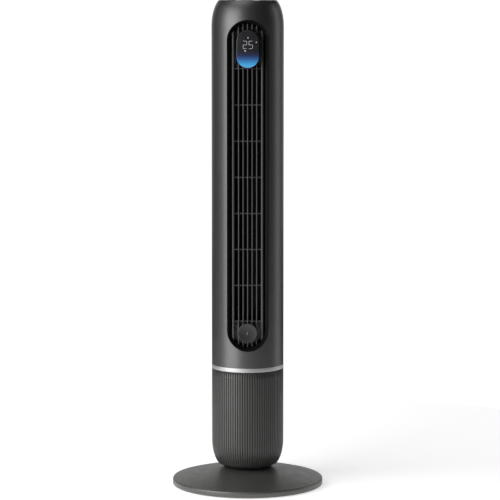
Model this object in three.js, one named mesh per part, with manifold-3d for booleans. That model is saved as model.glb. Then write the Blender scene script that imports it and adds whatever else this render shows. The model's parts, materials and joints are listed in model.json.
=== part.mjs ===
// An oscillating tower fan: a slim fluted column on a round foot, with a cross-flow impeller behind a tall
// slatted outlet. Millimetres, +Z up. The origin is on the floor under the column's axis, and the outlet
// faces -Y. The foot carries a fixed post; the tower group is everything that turns on it.
import * as THREE from "three";
import { mergeVertices } from "three/addons/utils/BufferGeometryUtils.js";
import Module from "manifold-3d";

const wasm = await Module();
wasm.setup();

// ---- driving dimensions -------------------------------------------------------------------------------
const HEIGHT = 1050;
const BODY_R = 77.5;
const WALL = 2.5;
const GAP = 0.3; // between pieces that touch
const BITE = 1; // how far joined shapes overlap, and how far a cutting tool passes the face it cuts
const WELD = 1e-4; // points closer than this are one point
const FIT_R = BODY_R - WALL - 2 * GAP; // radius of what fits inside the column's wall
const FAR = 200; // past the column on every side, for cutting tools
const ROUND_SEGMENTS = 40;
const SMALL_SEGMENTS = 20;
const TINY_SEGMENTS = 12;
const CORNER_SEGMENTS = 5;

const FOOT = { radius: 163, edgeTop: 15.2, hubTop: 38.5, hubRadius: 50.2, wall: 3, skirtBottom: 2 };
// The foot's profile bends over its edge, and then more gently over its dome. Points are [radius, z].
const FOOT_EDGE = { start: [FOOT.radius, 10.7], shoulder: [FOOT.radius - 4, FOOT.edgeTop], steps: 3 };
const FOOT_DOME = { corner: [112, 28.5], end: [53.2, 38.1], steps: 4 };
const PAD = { radius: 10, top: 1.7, edge: 0.8, ring: 138, count: 5 };
const BALLAST = { inner: 62, outer: 146, bottom: 4, top: 8 };
const UNDERSIDE = { inner: 36, top: 3.6 };
const FOOT_SCREW = { ring: 50, boss: 5, shank: 1.5, head: 3.6, headBottom: 0.6, top: 14, count: 3 };
const GLAND = { z: 8.2, radius: 3.6, bore: 2.8, flange: 4.2, inner: 157, outer: 162.3 };

const NECK = { radius: 51.2, bottom: FOOT.hubTop + GAP, top: 40.6 };
const POST = { radius: 16, bore: 12, flange: 24, bottom: 18, top: 70 };
const NUT = { radius: 30, bottom: 24, grips: 6, gripRadius: 4, gripRing: 31 };
const GLIDE = { inner: 36.5, outer: 45.5, bottom: NECK.top + GAP, top: 42.2 };
const CLIP = { radius: 23, thick: 2, slot: 8 };

const GEAR = { distance: 40, fixedTeeth: 24, driveTeeth: 10, bottom: 58, top: 65.6, backlash: 0.5 };
const GEAR_MODULE = (2 * GEAR.distance) / (GEAR.fixedTeeth + GEAR.driveTeeth);
const TOOTH = { addendum: 0.75, dedendum: 1.05 }; // in modules
const PRESSURE_ANGLE = THREE.MathUtils.degToRad(20);
const SWING_MOTOR = { radius: 24, bottom: 70.8, top: 92, shaft: 3, shaftDepth: 5 };
const MOTOR_EAR = { x: 30, half: 6, top: 73 };

const TURNTABLE = { bottom: 41, floor: 4, hubWall: 4, motorPost: 4, rimStep: 1 };
const FLUTES_BOTTOM = 48;
const RING = { bottom: 256.5, top: 265.3, radius: 77.7, lip: 2, reach: 6 };

// The rounded ends of the column are quarter ellipses, which start at the height called centre.
const LOW_CURVE = { centre: 98, across: 25.8, along: 57 };
const HIGH_CURVE = { centre: HEIGHT - 56, across: 26, along: 61 };
const LOW_CURVE_FOOT = BODY_R - LOW_CURVE.across;

// The outlet is a stadium: its half width, and the heights of its lowest and highest points. Insets are
// measured inwards from its outline.
const OUTLET = { half: 44.4, bottom: 301.8, top: 1009.9, depth: 20 };
const BEZEL = { inset: 7.8, front: -58, lip: 2, turns: 16 };
const RAIL = { inset: 11.2, width: 4.7, front: -61, back: -48 };
const SLAT = { pitch: 9.65, width: 2.4, front: -60.5, perSide: 2 };
const RIB = { lowest: 365.5, highest: 906.4, count: 8, thick: 2, front: -57, back: -50 };
const PANEL_FRONT = RAIL.back - BEZEL.lip - GAP; // of the flat panels behind the ends of the slats

const DISPLAY = { half: 24.9, bottom: 907.5, top: 989.1, front: -74.5, back: PANEL_FRONT - GAP, wall: 2 };
const LENS = { rim: 0.9, thick: 2.2, proud: 0.5 };
const DISPLAY_BOARD = { inset: 3, front: -64, thick: 1.6 };
const DIGITS = { half: 13, bottom: 938, top: 976, front: -71.3 };
const AROMA = { z: 341.2, radius: 21, edge: 1, front: -71.5, back: -67 };
const SLEEVE = { radius: 15.5, back: -54, wall: 1.8 };
const CUP = { radius: 18.4, front: -63, floor: 2, play: 0.5 };
const FELT_BACK = -57;

const IMPELLER = { y: 8, radius: 42, bottom: 374, top: 903, discs: 4, plate: 1.6, socket: 12, socketWall: 4 };
const BLADE = { count: 24, root: 32, tip: 41.4, sweep: 18, thick: 1.8 }; // sweep in degrees, root to tip
const MOTOR = { radius: 34, wall: 2, bottom: 284, top: 343, shaft: 4, rotor: 20, capHeight: 6, chamfer: 3 };
const WINDING = { inset: 12, airGap: 1, rotorInset: 14 };
const DECK = { z: 348, thick: 3, opening: 15 };
const BRIDGE = { z: 916, thick: 3, boss: 16, tall: 10 };
const BUSH = { radius: 12, tall: 9 };
const MOUNT = { ring: 24, waist: 3.3, foot: 6, head: 5, headTall: 2, angles: [90, 210, 330] };
const DUCT = { bottom: DECK.z + DECK.thick + GAP, top: BRIDGE.z - GAP, wall: 2 };
const SCROLL = { from: 100, sweep: 134, radius: 47, growth: 17.5, power: 1.3, steps: 12 }; // degrees, mm
const CUTOFF = [[37, -45.5], [36.5, -34], [37, -25], [44, -19], [68, -12]]; // its plan, front to back
const POWER_BOARD = { half: 36, back: 43.6, thick: 1.6, low: 104, high: 196 };
const BOARD_POST = { x: 30, half: 4, back: 69.5 };
const CAPACITORS = [
  { x: -22, z: 120, radius: 8, tall: 14 },
  { x: 22, z: 122, radius: 6, tall: 12 },
  { x: 24, z: 172, radius: 5, tall: 9 },
];
const TRANSFORMER = { left: -18, right: 16, low: 140, high: 186, tall: 20 };

const SHELL_SCREW = { x: 65, low: 284, high: 985, boss: 6, head: 3.8, headTall: 2.3, seat: 26, shank: 1.5 };
const SCREW_TIP = -10;
const BOSS_FRONT = -45;
const INTAKE = { half: 60, bottom: 360, top: 905, corner: 12, frame: 10, depth: 4 };
const INTAKE_SLOT = { width: 9, step: 10, across: 9, rows: 4 }; // step in degrees round the column
const GRIP = { half: 43.2, bottom: 936.8, top: 975.2, corner: 5.2, depth: 38, wall: 2.2 };
const GRIP_PLATE = { half: INTAKE.half, bottom: 934, top: 978, corner: 8 }; // in line with the intake
const SKIN_INSET = 0.4; // how far inserts lie below the column's skin

const TOP_PANEL = { radius: 59.7, top: 1049.2, bottom: 1047.5, ledge: 4 };
const TOP_EDGE = { drop: 1.4, round: 1 };
const BUTTON = { top: 1049.9, dish: 0.3, edge: 0.6, stem: 2 };
const BUTTON_FLANGE = { width: 1.4, top: 1046.2, bottom: 1044.8 };
const BUTTONS = [
  { name: "power_button", x: 0, y: 0, radius: 12 },
  { name: "speed_button", x: 0, y: -34, radius: 8.5 },
  { name: "timer_button", x: 34, y: 0, radius: 8.5 },
  { name: "mode_button", x: 0, y: 34, radius: 8.5 },
  { name: "swing_button", x: -34, y: 0, radius: 8.5 },
];
const SWITCH = { half: 3, top: 1035, stemGap: 1 };
const TOP_BOARD = { bottom: 1030.4, thick: 1.6, post: 3, postRing: 57.2, angles: [45, 135, 225, 315] };

// ---- materials ----------------------------------------------------------------------------------------
const finish = (color, roughness, metalness = 0) =>
  new THREE.MeshStandardMaterial({ color, roughness, metalness });
const GRAPHITE = finish(0x3f4040, 0.38, 0.35);
const FLUTED_GRAPHITE = finish(0x3c3d3b, 0.5, 0.15);
const FOOT_GREY = finish(0x3a3b39, 0.55);
const OUTLET_BLACK = finish(0x121314, 0.3);
const GRILLE_GREY = finish(0x2c2d2e, 0.4);
const GLOSS_BLACK = finish(0x0c0d0f, 0.08);
const SATIN_SILVER = finish(0xc6c8ca, 0.3, 0.9);
const BARE_STEEL = finish(0x9da0a3, 0.35, 1);
const INNER_BLACK = finish(0x1a1b1c, 0.6);
const NATURAL_NYLON = finish(0xe4e2d6, 0.5);
const RUBBER_BLACK = finish(0x161616, 0.9);
const BOARD_GREEN = finish(0x1d5a37, 0.5);
const WINDING_COPPER = finish(0x8a4a24, 0.5, 0.6);
const FELT_WHITE = finish(0xe8e6e0, 0.95);

// ---- the scene graph ----------------------------------------------------------------------------------
const fan = new THREE.Group();
const tower = new THREE.Group();
const airMover = new THREE.Group(); // the motor and impeller share an axis behind the column's
airMover.position.y = IMPELLER.y;
const capsule = new THREE.Group();
capsule.position.z = AROMA.z;
tower.add(airMover, capsule);
fan.add(tower);

function add(group, name, material, geometry) {
  const mesh = new THREE.Mesh(geometry, material);
  mesh.name = name;
  group.add(mesh);
  return mesh;
}

// ---- joining and cutting ------------------------------------------------------------------------------
function solidOf(geometry) {
  const bare = geometry.clone();
  bare.deleteAttribute("normal");
  bare.deleteAttribute("uv");
  const merged = mergeVertices(bare, WELD);
  const vertProperties = merged.attributes.position.array;
  const triVerts = new Uint32Array(merged.index.array);
  return new wasm.Manifold(new wasm.Mesh({ numProp: 3, vertProperties, triVerts }));
}

function geometryOf(solid) {
  const { vertProperties, triVerts } = solid.getMesh();
  const geometry = new THREE.BufferGeometry();
  geometry.setAttribute("position", new THREE.BufferAttribute(vertProperties, 3));
  geometry.setIndex(new THREE.BufferAttribute(triVerts, 1));
  return geometry;
}

const join = (body, ...others) =>
  geometryOf(others.reduce((whole, other) => whole.add(solidOf(other)), solidOf(body)));
const cut = (body, ...tools) =>
  geometryOf(tools.reduce((rest, tool) => rest.subtract(solidOf(tool)), solidOf(body)));
const common = (body, other) => geometryOf(solidOf(body).intersect(solidOf(other)));

// ---- shapes -------------------------------------------------------------------------------------------
const moved = (geometry, x, y, z = 0) => geometry.clone().translate(x, y, z);
const turned = (geometry, degrees) => geometry.clone().rotateZ(THREE.MathUtils.degToRad(degrees));
const pointAt = (radius, angle) => [radius * Math.cos(angle), radius * Math.sin(angle)];

// A solid of revolution about Z. The profile lists [radius, z] round the outline, either way round.
function lathe(profile, segments = ROUND_SEGMENTS) {
  const signedArea = profile.reduce((sum, [r, z], i) => {
    const [nextR, nextZ] = profile[(i + 1) % profile.length];
    return sum + r * nextZ - nextR * z;
  }, 0);
  const outline = signedArea > 0 ? [...profile] : [...profile].reverse();
  const startsAndEndsOnAxis = outline[0][0] === 0 && outline.at(-1)[0] === 0;
  if (!startsAndEndsOnAxis) outline.push(outline[0]);
  const points = outline.map(([r, z]) => new THREE.Vector2(r, z));
  return new THREE.LatheGeometry(points, segments).rotateX(Math.PI / 2);
}

// The same about Y, with a profile of [radius, y].
const latheAlongY = (profile, segments = SMALL_SEGMENTS) => lathe(profile, segments).rotateX(-Math.PI / 2);

const tube = (inner, outer, bottom, top, segments = SMALL_SEGMENTS) =>
  lathe([[inner, bottom], [outer, bottom], [outer, top], [inner, top]], segments);
const disc = (radius, bottom, top, segments = SMALL_SEGMENTS) =>
  lathe([[0, bottom], [radius, bottom], [radius, top], [0, top]], segments);
const rodAlongY = (radius, y0, y1, segments = TINY_SEGMENTS) =>
  latheAlongY([[0, y0], [radius, y0], [radius, y1], [0, y1]], segments);

function box([x0, x1], [y0, y1], [z0, z1]) {
  const geometry = new THREE.BoxGeometry(x1 - x0, y1 - y0, z1 - z0);
  return geometry.translate((x0 + x1) / 2, (y0 + y1) / 2, (z0 + z1) / 2);
}

const polygon = (points) => new THREE.Shape(points.map(([x, y]) => new THREE.Vector2(x, y)));

// A plan drawn as [x, y], standing between two heights.
function upright(shape, bottom, top, curveSegments = TINY_SEGMENTS) {
  const settings = { depth: top - bottom, bevelEnabled: false, curveSegments };
  return new THREE.ExtrudeGeometry(shape, settings).translate(0, 0, bottom);
}

// A front view drawn as [x, z], reaching from y0 back to y1.
function facing(shape, y0, y1, curveSegments = 8) {
  const settings = { depth: y1 - y0, bevelEnabled: false, curveSegments };
  return new THREE.ExtrudeGeometry(shape, settings).rotateX(Math.PI / 2).translate(0, y1, 0);
}

// An upright stadium with round ends, as a front view.
function stadium(half, bottom, top) {
  const shape = new THREE.Shape();
  shape.absarc(0, bottom + half, half, Math.PI, 2 * Math.PI);
  shape.absarc(0, top - half, half, 0, Math.PI);
  shape.closePath();
  return shape;
}

const insetOutlet = (inset) => stadium(OUTLET.half - inset, OUTLET.bottom + inset, OUTLET.top - inset);
const insetDisplay = (inset) => stadium(DISPLAY.half - inset, DISPLAY.bottom + inset, DISPLAY.top - inset);

// A rounded rectangle about x = 0, as a front view.
function roundedRectangle({ half, bottom, top, corner }, inset) {
  const [right, low, high, round] = [half - corner, bottom + corner, top - corner, corner - inset];
  const shape = new THREE.Shape();
  shape.absarc(right, low, round, -Math.PI / 2, 0);
  shape.absarc(right, high, round, 0, Math.PI / 2);
  shape.absarc(-right, high, round, Math.PI / 2, Math.PI);
  shape.absarc(-right, low, round, Math.PI, 1.5 * Math.PI);
  shape.closePath();
  return shape;
}

const windowThrough = (outline, inset, depth = OUTLET.depth) =>
  facing(roundedRectangle(outline, inset), depth, FAR, CORNER_SEGMENTS);

// ---- the column's curved ends -------------------------------------------------------------------------
// Points [radius, z] on a quarter ellipse or a wall's thickness inside it, between two heights given as
// distances from its start. Up is 1 for the top of the column and -1 for the bottom.
function endCurve({ centre, across, along }, up, from, to, steps, inset = 0) {
  const reach = along - inset;
  return Array.from({ length: steps + 1 }, (_, i) => {
    const startTurn = Math.asin(from / reach);
    const turn = startTurn + ((Math.asin(to / reach) - startTurn) * i) / steps;
    return [BODY_R - across + (across - inset) * Math.cos(turn), centre + up * reach * Math.sin(turn)];
  });
}

function columnRadius(z) {
  const rise = Math.max(0, z - HIGH_CURVE.centre);
  return endCurve(HIGH_CURVE, 1, rise, rise, 1)[0][0];
}

// ---- the foot -----------------------------------------------------------------------------------------
const footScrewPlaces = Array.from({ length: FOOT_SCREW.count }, (_, i) =>
  pointAt(FOOT_SCREW.ring, Math.PI / 2 + (2 * Math.PI * i) / FOOT_SCREW.count));
const footWallInside = FOOT.radius - FOOT.wall;

function bend(start, corner, end, steps) {
  const [from, pull, to] = [start, corner, end].map(([r, z]) => new THREE.Vector2(r, z));
  return new THREE.QuadraticBezierCurve(from, pull, to).getPoints(steps).map(({ x, y }) => [x, y]);
}

function footPlate() {
  const { radius, edgeTop, hubTop, hubRadius, wall, skirtBottom } = FOOT;
  const { start, shoulder, steps } = FOOT_EDGE;
  const dish = lathe([
    [radius, skirtBottom],
    ...bend(start, [radius, edgeTop], shoulder, steps),
    ...bend(shoulder, FOOT_DOME.corner, FOOT_DOME.end, FOOT_DOME.steps).slice(1),
    [hubRadius, hubTop],
    [POST.radius + GAP, hubTop],
    [POST.radius + GAP, hubTop - wall],
    [hubRadius, hubTop - wall],
    [radius - 2 * wall, edgeTop - wall],
    [footWallInside, edgeTop - 2 * wall],
    [footWallInside, skirtBottom],
  ]);
  const { shank, boss: bossRadius } = FOOT_SCREW;
  const boss = tube(shank + GAP, bossRadius, UNDERSIDE.top + GAP, hubTop - BITE, TINY_SEGMENTS);
  const glandSeat = latheAlongY([
    [0, GLAND.inner - BITE],
    [GLAND.flange + GAP, GLAND.inner - BITE],
    [GLAND.flange + GAP, footWallInside + GAP],
    [GLAND.radius + GAP, footWallInside + GAP],
    [GLAND.radius + GAP, FAR],
    [0, FAR],
  ], TINY_SEGMENTS);
  const bosses = footScrewPlaces.map(([x, y]) => moved(boss, x, y));
  return cut(join(dish, ...bosses), moved(glandSeat, 0, 0, GLAND.z));
}
add(fan, "base_plate", FOOT_GREY, footPlate());

const undersideOuter = footWallInside - GAP;
const undersideDisc = tube(UNDERSIDE.inner, undersideOuter, FOOT.skirtBottom, UNDERSIDE.top, ROUND_SEGMENTS);
const screwHole = disc(FOOT_SCREW.shank + GAP, 0, UNDERSIDE.top + BITE, TINY_SEGMENTS);
const screwHoles = footScrewPlaces.map(([x, y]) => moved(screwHole, x, y));
add(fan, "base_underside", INNER_BLACK, cut(undersideDisc, ...screwHoles));

const ballast = tube(BALLAST.inner, BALLAST.outer, BALLAST.bottom, BALLAST.top, ROUND_SEGMENTS);
add(fan, "base_weight", BARE_STEEL, ballast);

footScrewPlaces.forEach(([x, y], i) => {
  const { head, headBottom, shank, top } = FOOT_SCREW;
  const headTop = FOOT.skirtBottom - GAP;
  const profile = [
    [0, headBottom],
    [head, headBottom],
    [head, headTop],
    [shank, headTop],
    [shank, top],
    [0, top],
  ];
  add(fan, `base_screw_${i + 1}`, BARE_STEEL, lathe(profile, TINY_SEGMENTS)).position.set(x, y, 0);
});

for (let i = 0; i < PAD.count; i++) {
  const { radius, edge, top } = PAD;
  const profile = [[0, 0], [radius - edge, 0], [radius, edge], [radius, top], [0, top]];
  const [x, y] = pointAt(PAD.ring, (2 * Math.PI * i) / PAD.count);
  add(fan, `foot_pad_${i + 1}`, RUBBER_BLACK, lathe(profile, SMALL_SEGMENTS)).position.set(x, y, 0);
}

const glandShoulder = footWallInside - GAP;
const gland = latheAlongY([
  [GLAND.bore, GLAND.inner],
  [GLAND.flange, GLAND.inner],
  [GLAND.flange, glandShoulder],
  [GLAND.radius, glandShoulder],
  [GLAND.radius, GLAND.outer],
  [GLAND.bore, GLAND.outer],
], TINY_SEGMENTS);
add(fan, "cord_gland", RUBBER_BLACK, gland).position.z = GLAND.z;

// ---- the fixed post -----------------------------------------------------------------------------------
const collar = tube(POST.flange + GAP, NECK.radius, NECK.bottom, NECK.top, ROUND_SEGMENTS);
add(fan, "neck_collar", OUTLET_BLACK, collar);

const post = lathe([
  [POST.bore, POST.bottom],
  [POST.radius, POST.bottom],
  [POST.radius, NECK.bottom],
  [POST.flange, NECK.bottom],
  [POST.flange, NECK.top],
  [POST.radius, NECK.top],
  [POST.radius, POST.top],
  [POST.bore, POST.top],
], SMALL_SEGMENTS);
add(fan, "pivot_post", BARE_STEEL, post);

function lockNut() {
  const ring = tube(POST.radius + GAP, NUT.radius, NUT.bottom, FOOT.hubTop - FOOT.wall - GAP);
  const grip = moved(disc(NUT.gripRadius, NUT.bottom - BITE, FOOT.hubTop, TINY_SEGMENTS), NUT.gripRing, 0);
  const grips = Array.from({ length: NUT.grips }, (_, i) => turned(grip, (360 * i) / NUT.grips));
  return cut(ring, ...grips);
}
add(fan, "lock_nut", INNER_BLACK, lockNut());

function retainingClip() {
  const bottom = GEAR.top + GAP;
  const ring = tube(POST.radius + GAP, CLIP.radius, bottom, bottom + CLIP.thick);
  const mouth = box([-CLIP.slot / 2, CLIP.slot / 2], [-FAR, 0], [bottom - BITE, bottom + CLIP.thick + BITE]);
  return cut(ring, mouth);
}
add(fan, "retaining_ring", BARE_STEEL, retainingClip());

const glideRing = tube(GLIDE.inner, GLIDE.outer, GLIDE.bottom, GLIDE.top, ROUND_SEGMENTS);
add(fan, "glide_ring", NATURAL_NYLON, glideRing);

// ---- the oscillation gears ----------------------------------------------------------------------------
// One involute flank as [radius, half the tooth's angle there], from the root to the tip.
function flank(teeth) {
  const pitch = (GEAR_MODULE * teeth) / 2;
  const base = pitch * Math.cos(PRESSURE_ANGLE);
  const root = pitch - TOOTH.dedendum * GEAR_MODULE;
  const tip = pitch + TOOTH.addendum * GEAR_MODULE;
  const involute = (angle) => Math.tan(angle) - angle;
  const halfAtPitch = (Math.PI * GEAR_MODULE - GEAR.backlash) / 4 / pitch;
  const halfAt = (r) => halfAtPitch + involute(PRESSURE_ANGLE) - involute(Math.acos(Math.min(1, base / r)));
  const start = Math.max(base, root + GAP);
  return [[root, halfAt(start)], ...[start, pitch, tip].map((r) => [r, halfAt(r)])];
}

function gear(teeth, firstTooth) {
  const side = flank(teeth);
  const outline = [];
  for (let i = 0; i < teeth; i++) {
    const middle = firstTooth + (2 * Math.PI * i) / teeth;
    const rising = side.map(([r, half]) => pointAt(r, middle - half));
    const falling = side.map(([r, half]) => pointAt(r, middle + half)).reverse();
    outline.push(...rising, ...falling);
  }
  return upright(polygon(outline), GEAR.bottom, GEAR.top);
}
const postHole = disc(POST.radius + GAP, GEAR.bottom - BITE, GEAR.top + BITE);
add(fan, "fixed_gear", NATURAL_NYLON, cut(gear(GEAR.fixedTeeth, Math.PI / 2), postHole));

// A tooth of the fixed gear points at the drive gear, which meets it with the space between two teeth.
const driveShaftTop = SWING_MOTOR.bottom + SWING_MOTOR.shaftDepth;
const driveShaft = disc(SWING_MOTOR.shaft, GEAR.top - BITE, driveShaftTop, TINY_SEGMENTS);
const driveGear = join(gear(GEAR.driveTeeth, Math.PI / GEAR.driveTeeth - Math.PI / 2), driveShaft);
add(tower, "drive_gear", NATURAL_NYLON, driveGear).position.y = GEAR.distance;

function swingMotor() {
  const { radius, bottom, top, shaft } = SWING_MOTOR;
  const earReach = MOTOR_EAR.x + MOTOR_EAR.half;
  const ears = box([-earReach, earReach], [-MOTOR_EAR.half, MOTOR_EAR.half], [bottom, MOTOR_EAR.top]);
  const shaftHole = disc(shaft + GAP, bottom - BITE, driveShaftTop + BITE, TINY_SEGMENTS);
  return cut(join(disc(radius, bottom, top), ears), shaftHole);
}
add(tower, "swing_motor", BARE_STEEL, swingMotor()).position.y = GEAR.distance;

// ---- the bottom of the tower --------------------------------------------------------------------------
function turntable() {
  const { bottom, floor, hubWall, motorPost: postRadius, rimStep } = TURNTABLE;
  const rim = FLUTES_BOTTOM - GAP;
  const [[rimRadius]] = endCurve(LOW_CURVE, -1, LOW_CURVE.centre - rim, LOW_CURVE.centre - rim, 1);
  const hub = POST.radius + GAP;
  const hubTop = GEAR.bottom - GAP;
  const floorTop = bottom + floor;
  const plate = lathe([
    [rimRadius - rimStep, rim],
    [LOW_CURVE_FOOT, bottom],
    [GLIDE.outer + GAP, bottom],
    [GLIDE.outer + GAP, GLIDE.top + GAP],
    [GLIDE.inner - GAP, GLIDE.top + GAP],
    [GLIDE.inner - GAP, bottom],
    [hub, bottom],
    [hub, hubTop],
    [hub + hubWall, hubTop],
    [hub + hubWall, floorTop],
    [LOW_CURVE_FOOT, floorTop],
    [rimRadius - 2 * WALL, rim],
  ]);
  const motorPost = disc(postRadius, floorTop - BITE, SWING_MOTOR.bottom - GAP, TINY_SEGMENTS);
  return join(plate, ...[-1, 1].map((side) => moved(motorPost, side * MOTOR_EAR.x, GEAR.distance)));
}
add(tower, "turntable", INNER_BLACK, turntable());

function lowerBarrel() {
  const drop = LOW_CURVE.centre - FLUTES_BOTTOM;
  const top = RING.bottom - GAP;
  const wall = lathe([
    ...endCurve(LOW_CURVE, -1, drop, 0, 5),
    [BODY_R, top],
    [BODY_R - WALL, top],
    ...endCurve(LOW_CURVE, -1, 0, drop, 3, WALL),
  ]);
  const { x, half, back } = BOARD_POST;
  const boardPost = box([-half, half], [POWER_BOARD.back + GAP, back], [POWER_BOARD.low, POWER_BOARD.high]);
  return join(wall, ...[-1, 1].map((side) => moved(boardPost, side * x, 0)));
}
add(tower, "lower_barrel", FLUTED_GRAPHITE, lowerBarrel());

// The ring's hidden lip locates the barrel below it and the shells above it.
const trimRing = lathe([
  [FIT_R - RING.lip, RING.bottom - RING.reach],
  [FIT_R, RING.bottom - RING.reach],
  [FIT_R, RING.bottom],
  [RING.radius, RING.bottom],
  [RING.radius, RING.top],
  [FIT_R, RING.top],
  [FIT_R, RING.top + RING.reach],
  [FIT_R - RING.lip, RING.top + RING.reach],
]);
add(tower, "trim_ring", SATIN_SILVER, trimRing);

function powerBoard() {
  const { half, back, thick, low, high } = POWER_BOARD;
  const front = back - thick;
  const rooted = back - thick / 2; // parts stand on the board and bite into it
  const capacitors = CAPACITORS.map(({ x, z, radius, tall }) =>
    moved(rodAlongY(radius, front - tall, rooted), x, 0, z));
  const { left, right, tall } = TRANSFORMER;
  const transformer = box([left, right], [front - tall, rooted], [TRANSFORMER.low, TRANSFORMER.high]);
  return join(box([-half, half], [front, back], [low, high]), transformer, ...capacitors);
}
add(tower, "power_board", BOARD_GREEN, powerBoard());

// ---- the column's shells ------------------------------------------------------------------------------
function columnShell() {
  const { centre, along } = HIGH_CURVE;
  const edgeZ = HEIGHT - TOP_EDGE.drop;
  const ledgeTop = TOP_PANEL.bottom - GAP;
  const ledgeBottom = ledgeTop - WALL;
  const seat = TOP_PANEL.radius + GAP;
  const ledgeEdge = TOP_PANEL.radius - TOP_PANEL.ledge;
  return lathe([
    [BODY_R, RING.top + GAP],
    ...endCurve(HIGH_CURVE, 1, 0, edgeZ - centre, 6),
    [columnRadius(edgeZ) - TOP_EDGE.round, HEIGHT],
    [seat, HEIGHT],
    [seat, ledgeTop],
    [ledgeEdge, ledgeTop],
    [ledgeEdge, ledgeBottom],
    ...endCurve(HIGH_CURVE, 1, Math.min(ledgeBottom - centre, along - 2 * WALL), 0, 4, WALL),
    [BODY_R - WALL, RING.top + GAP],
  ]);
}
const shell = columnShell();
const insideColumn = disc(BODY_R - BITE, RING.top, HIGH_CURVE.centre, ROUND_SEGMENTS);
const shellScrewPlaces = [SHELL_SCREW.low, SHELL_SCREW.high].flatMap((z) =>
  [-1, 1].map((side) => [side * SHELL_SCREW.x, z]));

// Adds a boss to a half shell at each screw, and then cuts the given hole along it.
function withBosses(half, y0, y1, hole) {
  const bossAt = ([x, z]) => common(moved(rodAlongY(SHELL_SCREW.boss, y0, y1), x, 0, z), insideColumn);
  const holeAt = ([x, z]) => moved(hole, x, 0, z);
  return cut(join(half, ...shellScrewPlaces.map(bossAt)), ...shellScrewPlaces.map(holeAt));
}

function frontShell() {
  const half = common(shell, box([-FAR, FAR], [-FAR, -GAP / 2], [0, HEIGHT + BITE]));
  const hole = rodAlongY(SHELL_SCREW.shank + GAP, SCREW_TIP - BITE, BITE);
  return cut(withBosses(half, BOSS_FRONT, -GAP / 2, hole), facing(insetOutlet(0), -FAR, -OUTLET.depth));
}
add(tower, "front_shell", GRAPHITE, frontShell());

function rearShell() {
  const { seat, shank, head } = SHELL_SCREW;
  const half = common(shell, box([-FAR, FAR], [GAP / 2, FAR], [0, HEIGHT + BITE]));
  const steppedHole = latheAlongY([
    [0, 0],
    [shank + GAP, 0],
    [shank + GAP, seat],
    [head + GAP, seat],
    [head + GAP, FAR],
    [0, FAR],
  ], TINY_SEGMENTS);
  const bossed = withBosses(half, GAP / 2, BODY_R, steppedHole);
  return cut(bossed, windowThrough(INTAKE, 0), windowThrough(GRIP_PLATE, -GAP));
}
add(tower, "rear_shell", GRAPHITE, rearShell());

shellScrewPlaces.forEach(([x, z], i) => {
  const { head, headTall, seat, shank } = SHELL_SCREW;
  const under = seat + GAP;
  const crown = under + headTall;
  const profile = [
    [0, SCREW_TIP],
    [shank, SCREW_TIP],
    [shank, under],
    [head, under],
    [head, crown],
    [0, crown],
  ];
  const screw = add(tower, `shell_screw_${i + 1}`, BARE_STEEL, latheAlongY(profile, TINY_SEGMENTS));
  screw.position.set(x, 0, z);
});

// ---- the rear intake and the finger grip --------------------------------------------------------------
function intakeGrille() {
  const { bottom, top, frame, depth } = INTAKE;
  const { width, step, across, rows } = INTAKE_SLOT;
  const skin = tube(BODY_R - depth, BODY_R - SKIN_INSET, bottom, top, ROUND_SEGMENTS);
  const rowPitch = (top - bottom - frame) / rows;
  const slots = [];
  for (let row = 0; row < rows; row++) {
    const low = bottom + frame + row * rowPitch;
    const hole = box([-width / 2, width / 2], [BODY_R - 2 * depth, FAR], [low, low + rowPitch - frame]);
    for (let i = 0; i < across; i++) slots.push(turned(hole, (i - (across - 1) / 2) * step));
  }
  return cut(common(skin, windowThrough(INTAKE, GAP)), ...slots);
}
add(tower, "rear_grille", GRILLE_GREY, intakeGrille());

// A thin cup, behind a plate that is level with the skin.
function gripPocket() {
  const { bottom, top } = GRIP_PLATE;
  const skin = tube(BODY_R - WALL, BODY_R - SKIN_INSET, bottom - BITE, top + BITE, ROUND_SEGMENTS);
  const plate = common(windowThrough(GRIP_PLATE, 0), skin);
  const cupEnd = disc(BODY_R - SKIN_INSET - BITE, bottom, top, ROUND_SEGMENTS);
  const cup = common(windowThrough(GRIP, 0, GRIP.depth), cupEnd);
  return cut(join(plate, cup), windowThrough(GRIP, GRIP.wall, GRIP.depth + GRIP.wall));
}
add(tower, "grip_pocket", OUTLET_BLACK, gripPocket());

// ---- the outlet ---------------------------------------------------------------------------------------
// The bezel is one section swept round the outlet. Its front edge lies on the column's skin, its bevel
// slopes back and inwards, and its lip closes the space round the grille.
function bezel() {
  const onSkin = (x, z) => SKIN_INSET - Math.sqrt(columnRadius(z) ** 2 - x * x);
  const lipInset = RAIL.inset - GAP;
  const section = [
    { inset: GAP, y: onSkin },
    { inset: BEZEL.inset, y: () => BEZEL.front },
    { inset: BEZEL.inset, y: () => RAIL.back - BEZEL.lip },
    { inset: lipInset, y: () => RAIL.back - BEZEL.lip },
    { inset: lipInset, y: () => RAIL.back },
    { inset: GAP, y: () => RAIL.back },
  ];
  const spots = [];
  for (const [start, centreZ] of [[0, OUTLET.top - OUTLET.half], [Math.PI, OUTLET.bottom + OUTLET.half]])
    for (let i = 0; i <= BEZEL.turns; i++) spots.push([start + (Math.PI * i) / BEZEL.turns, centreZ]);
  const vertices = spots.flatMap(([angle, centreZ]) => section.flatMap(({ inset, y }) => {
    const [x, rise] = pointAt(OUTLET.half - inset, angle);
    return [x, y(x, centreZ + rise), centreZ + rise];
  }));
  const faces = [];
  for (let i = 0; i < spots.length; i++) {
    const next = (i + 1) % spots.length;
    for (let k = 0; k < section.length; k++) {
      const beside = (k + 1) % section.length;
      const [a, b] = [i * section.length + k, i * section.length + beside];
      const [c, d] = [next * section.length + k, next * section.length + beside];
      faces.push(a, c, b, b, c, d);
    }
  }
  const geometry = new THREE.BufferGeometry();
  geometry.setAttribute("position", new THREE.Float32BufferAttribute(vertices, 3));
  return geometry.setIndex(faces);
}
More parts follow.
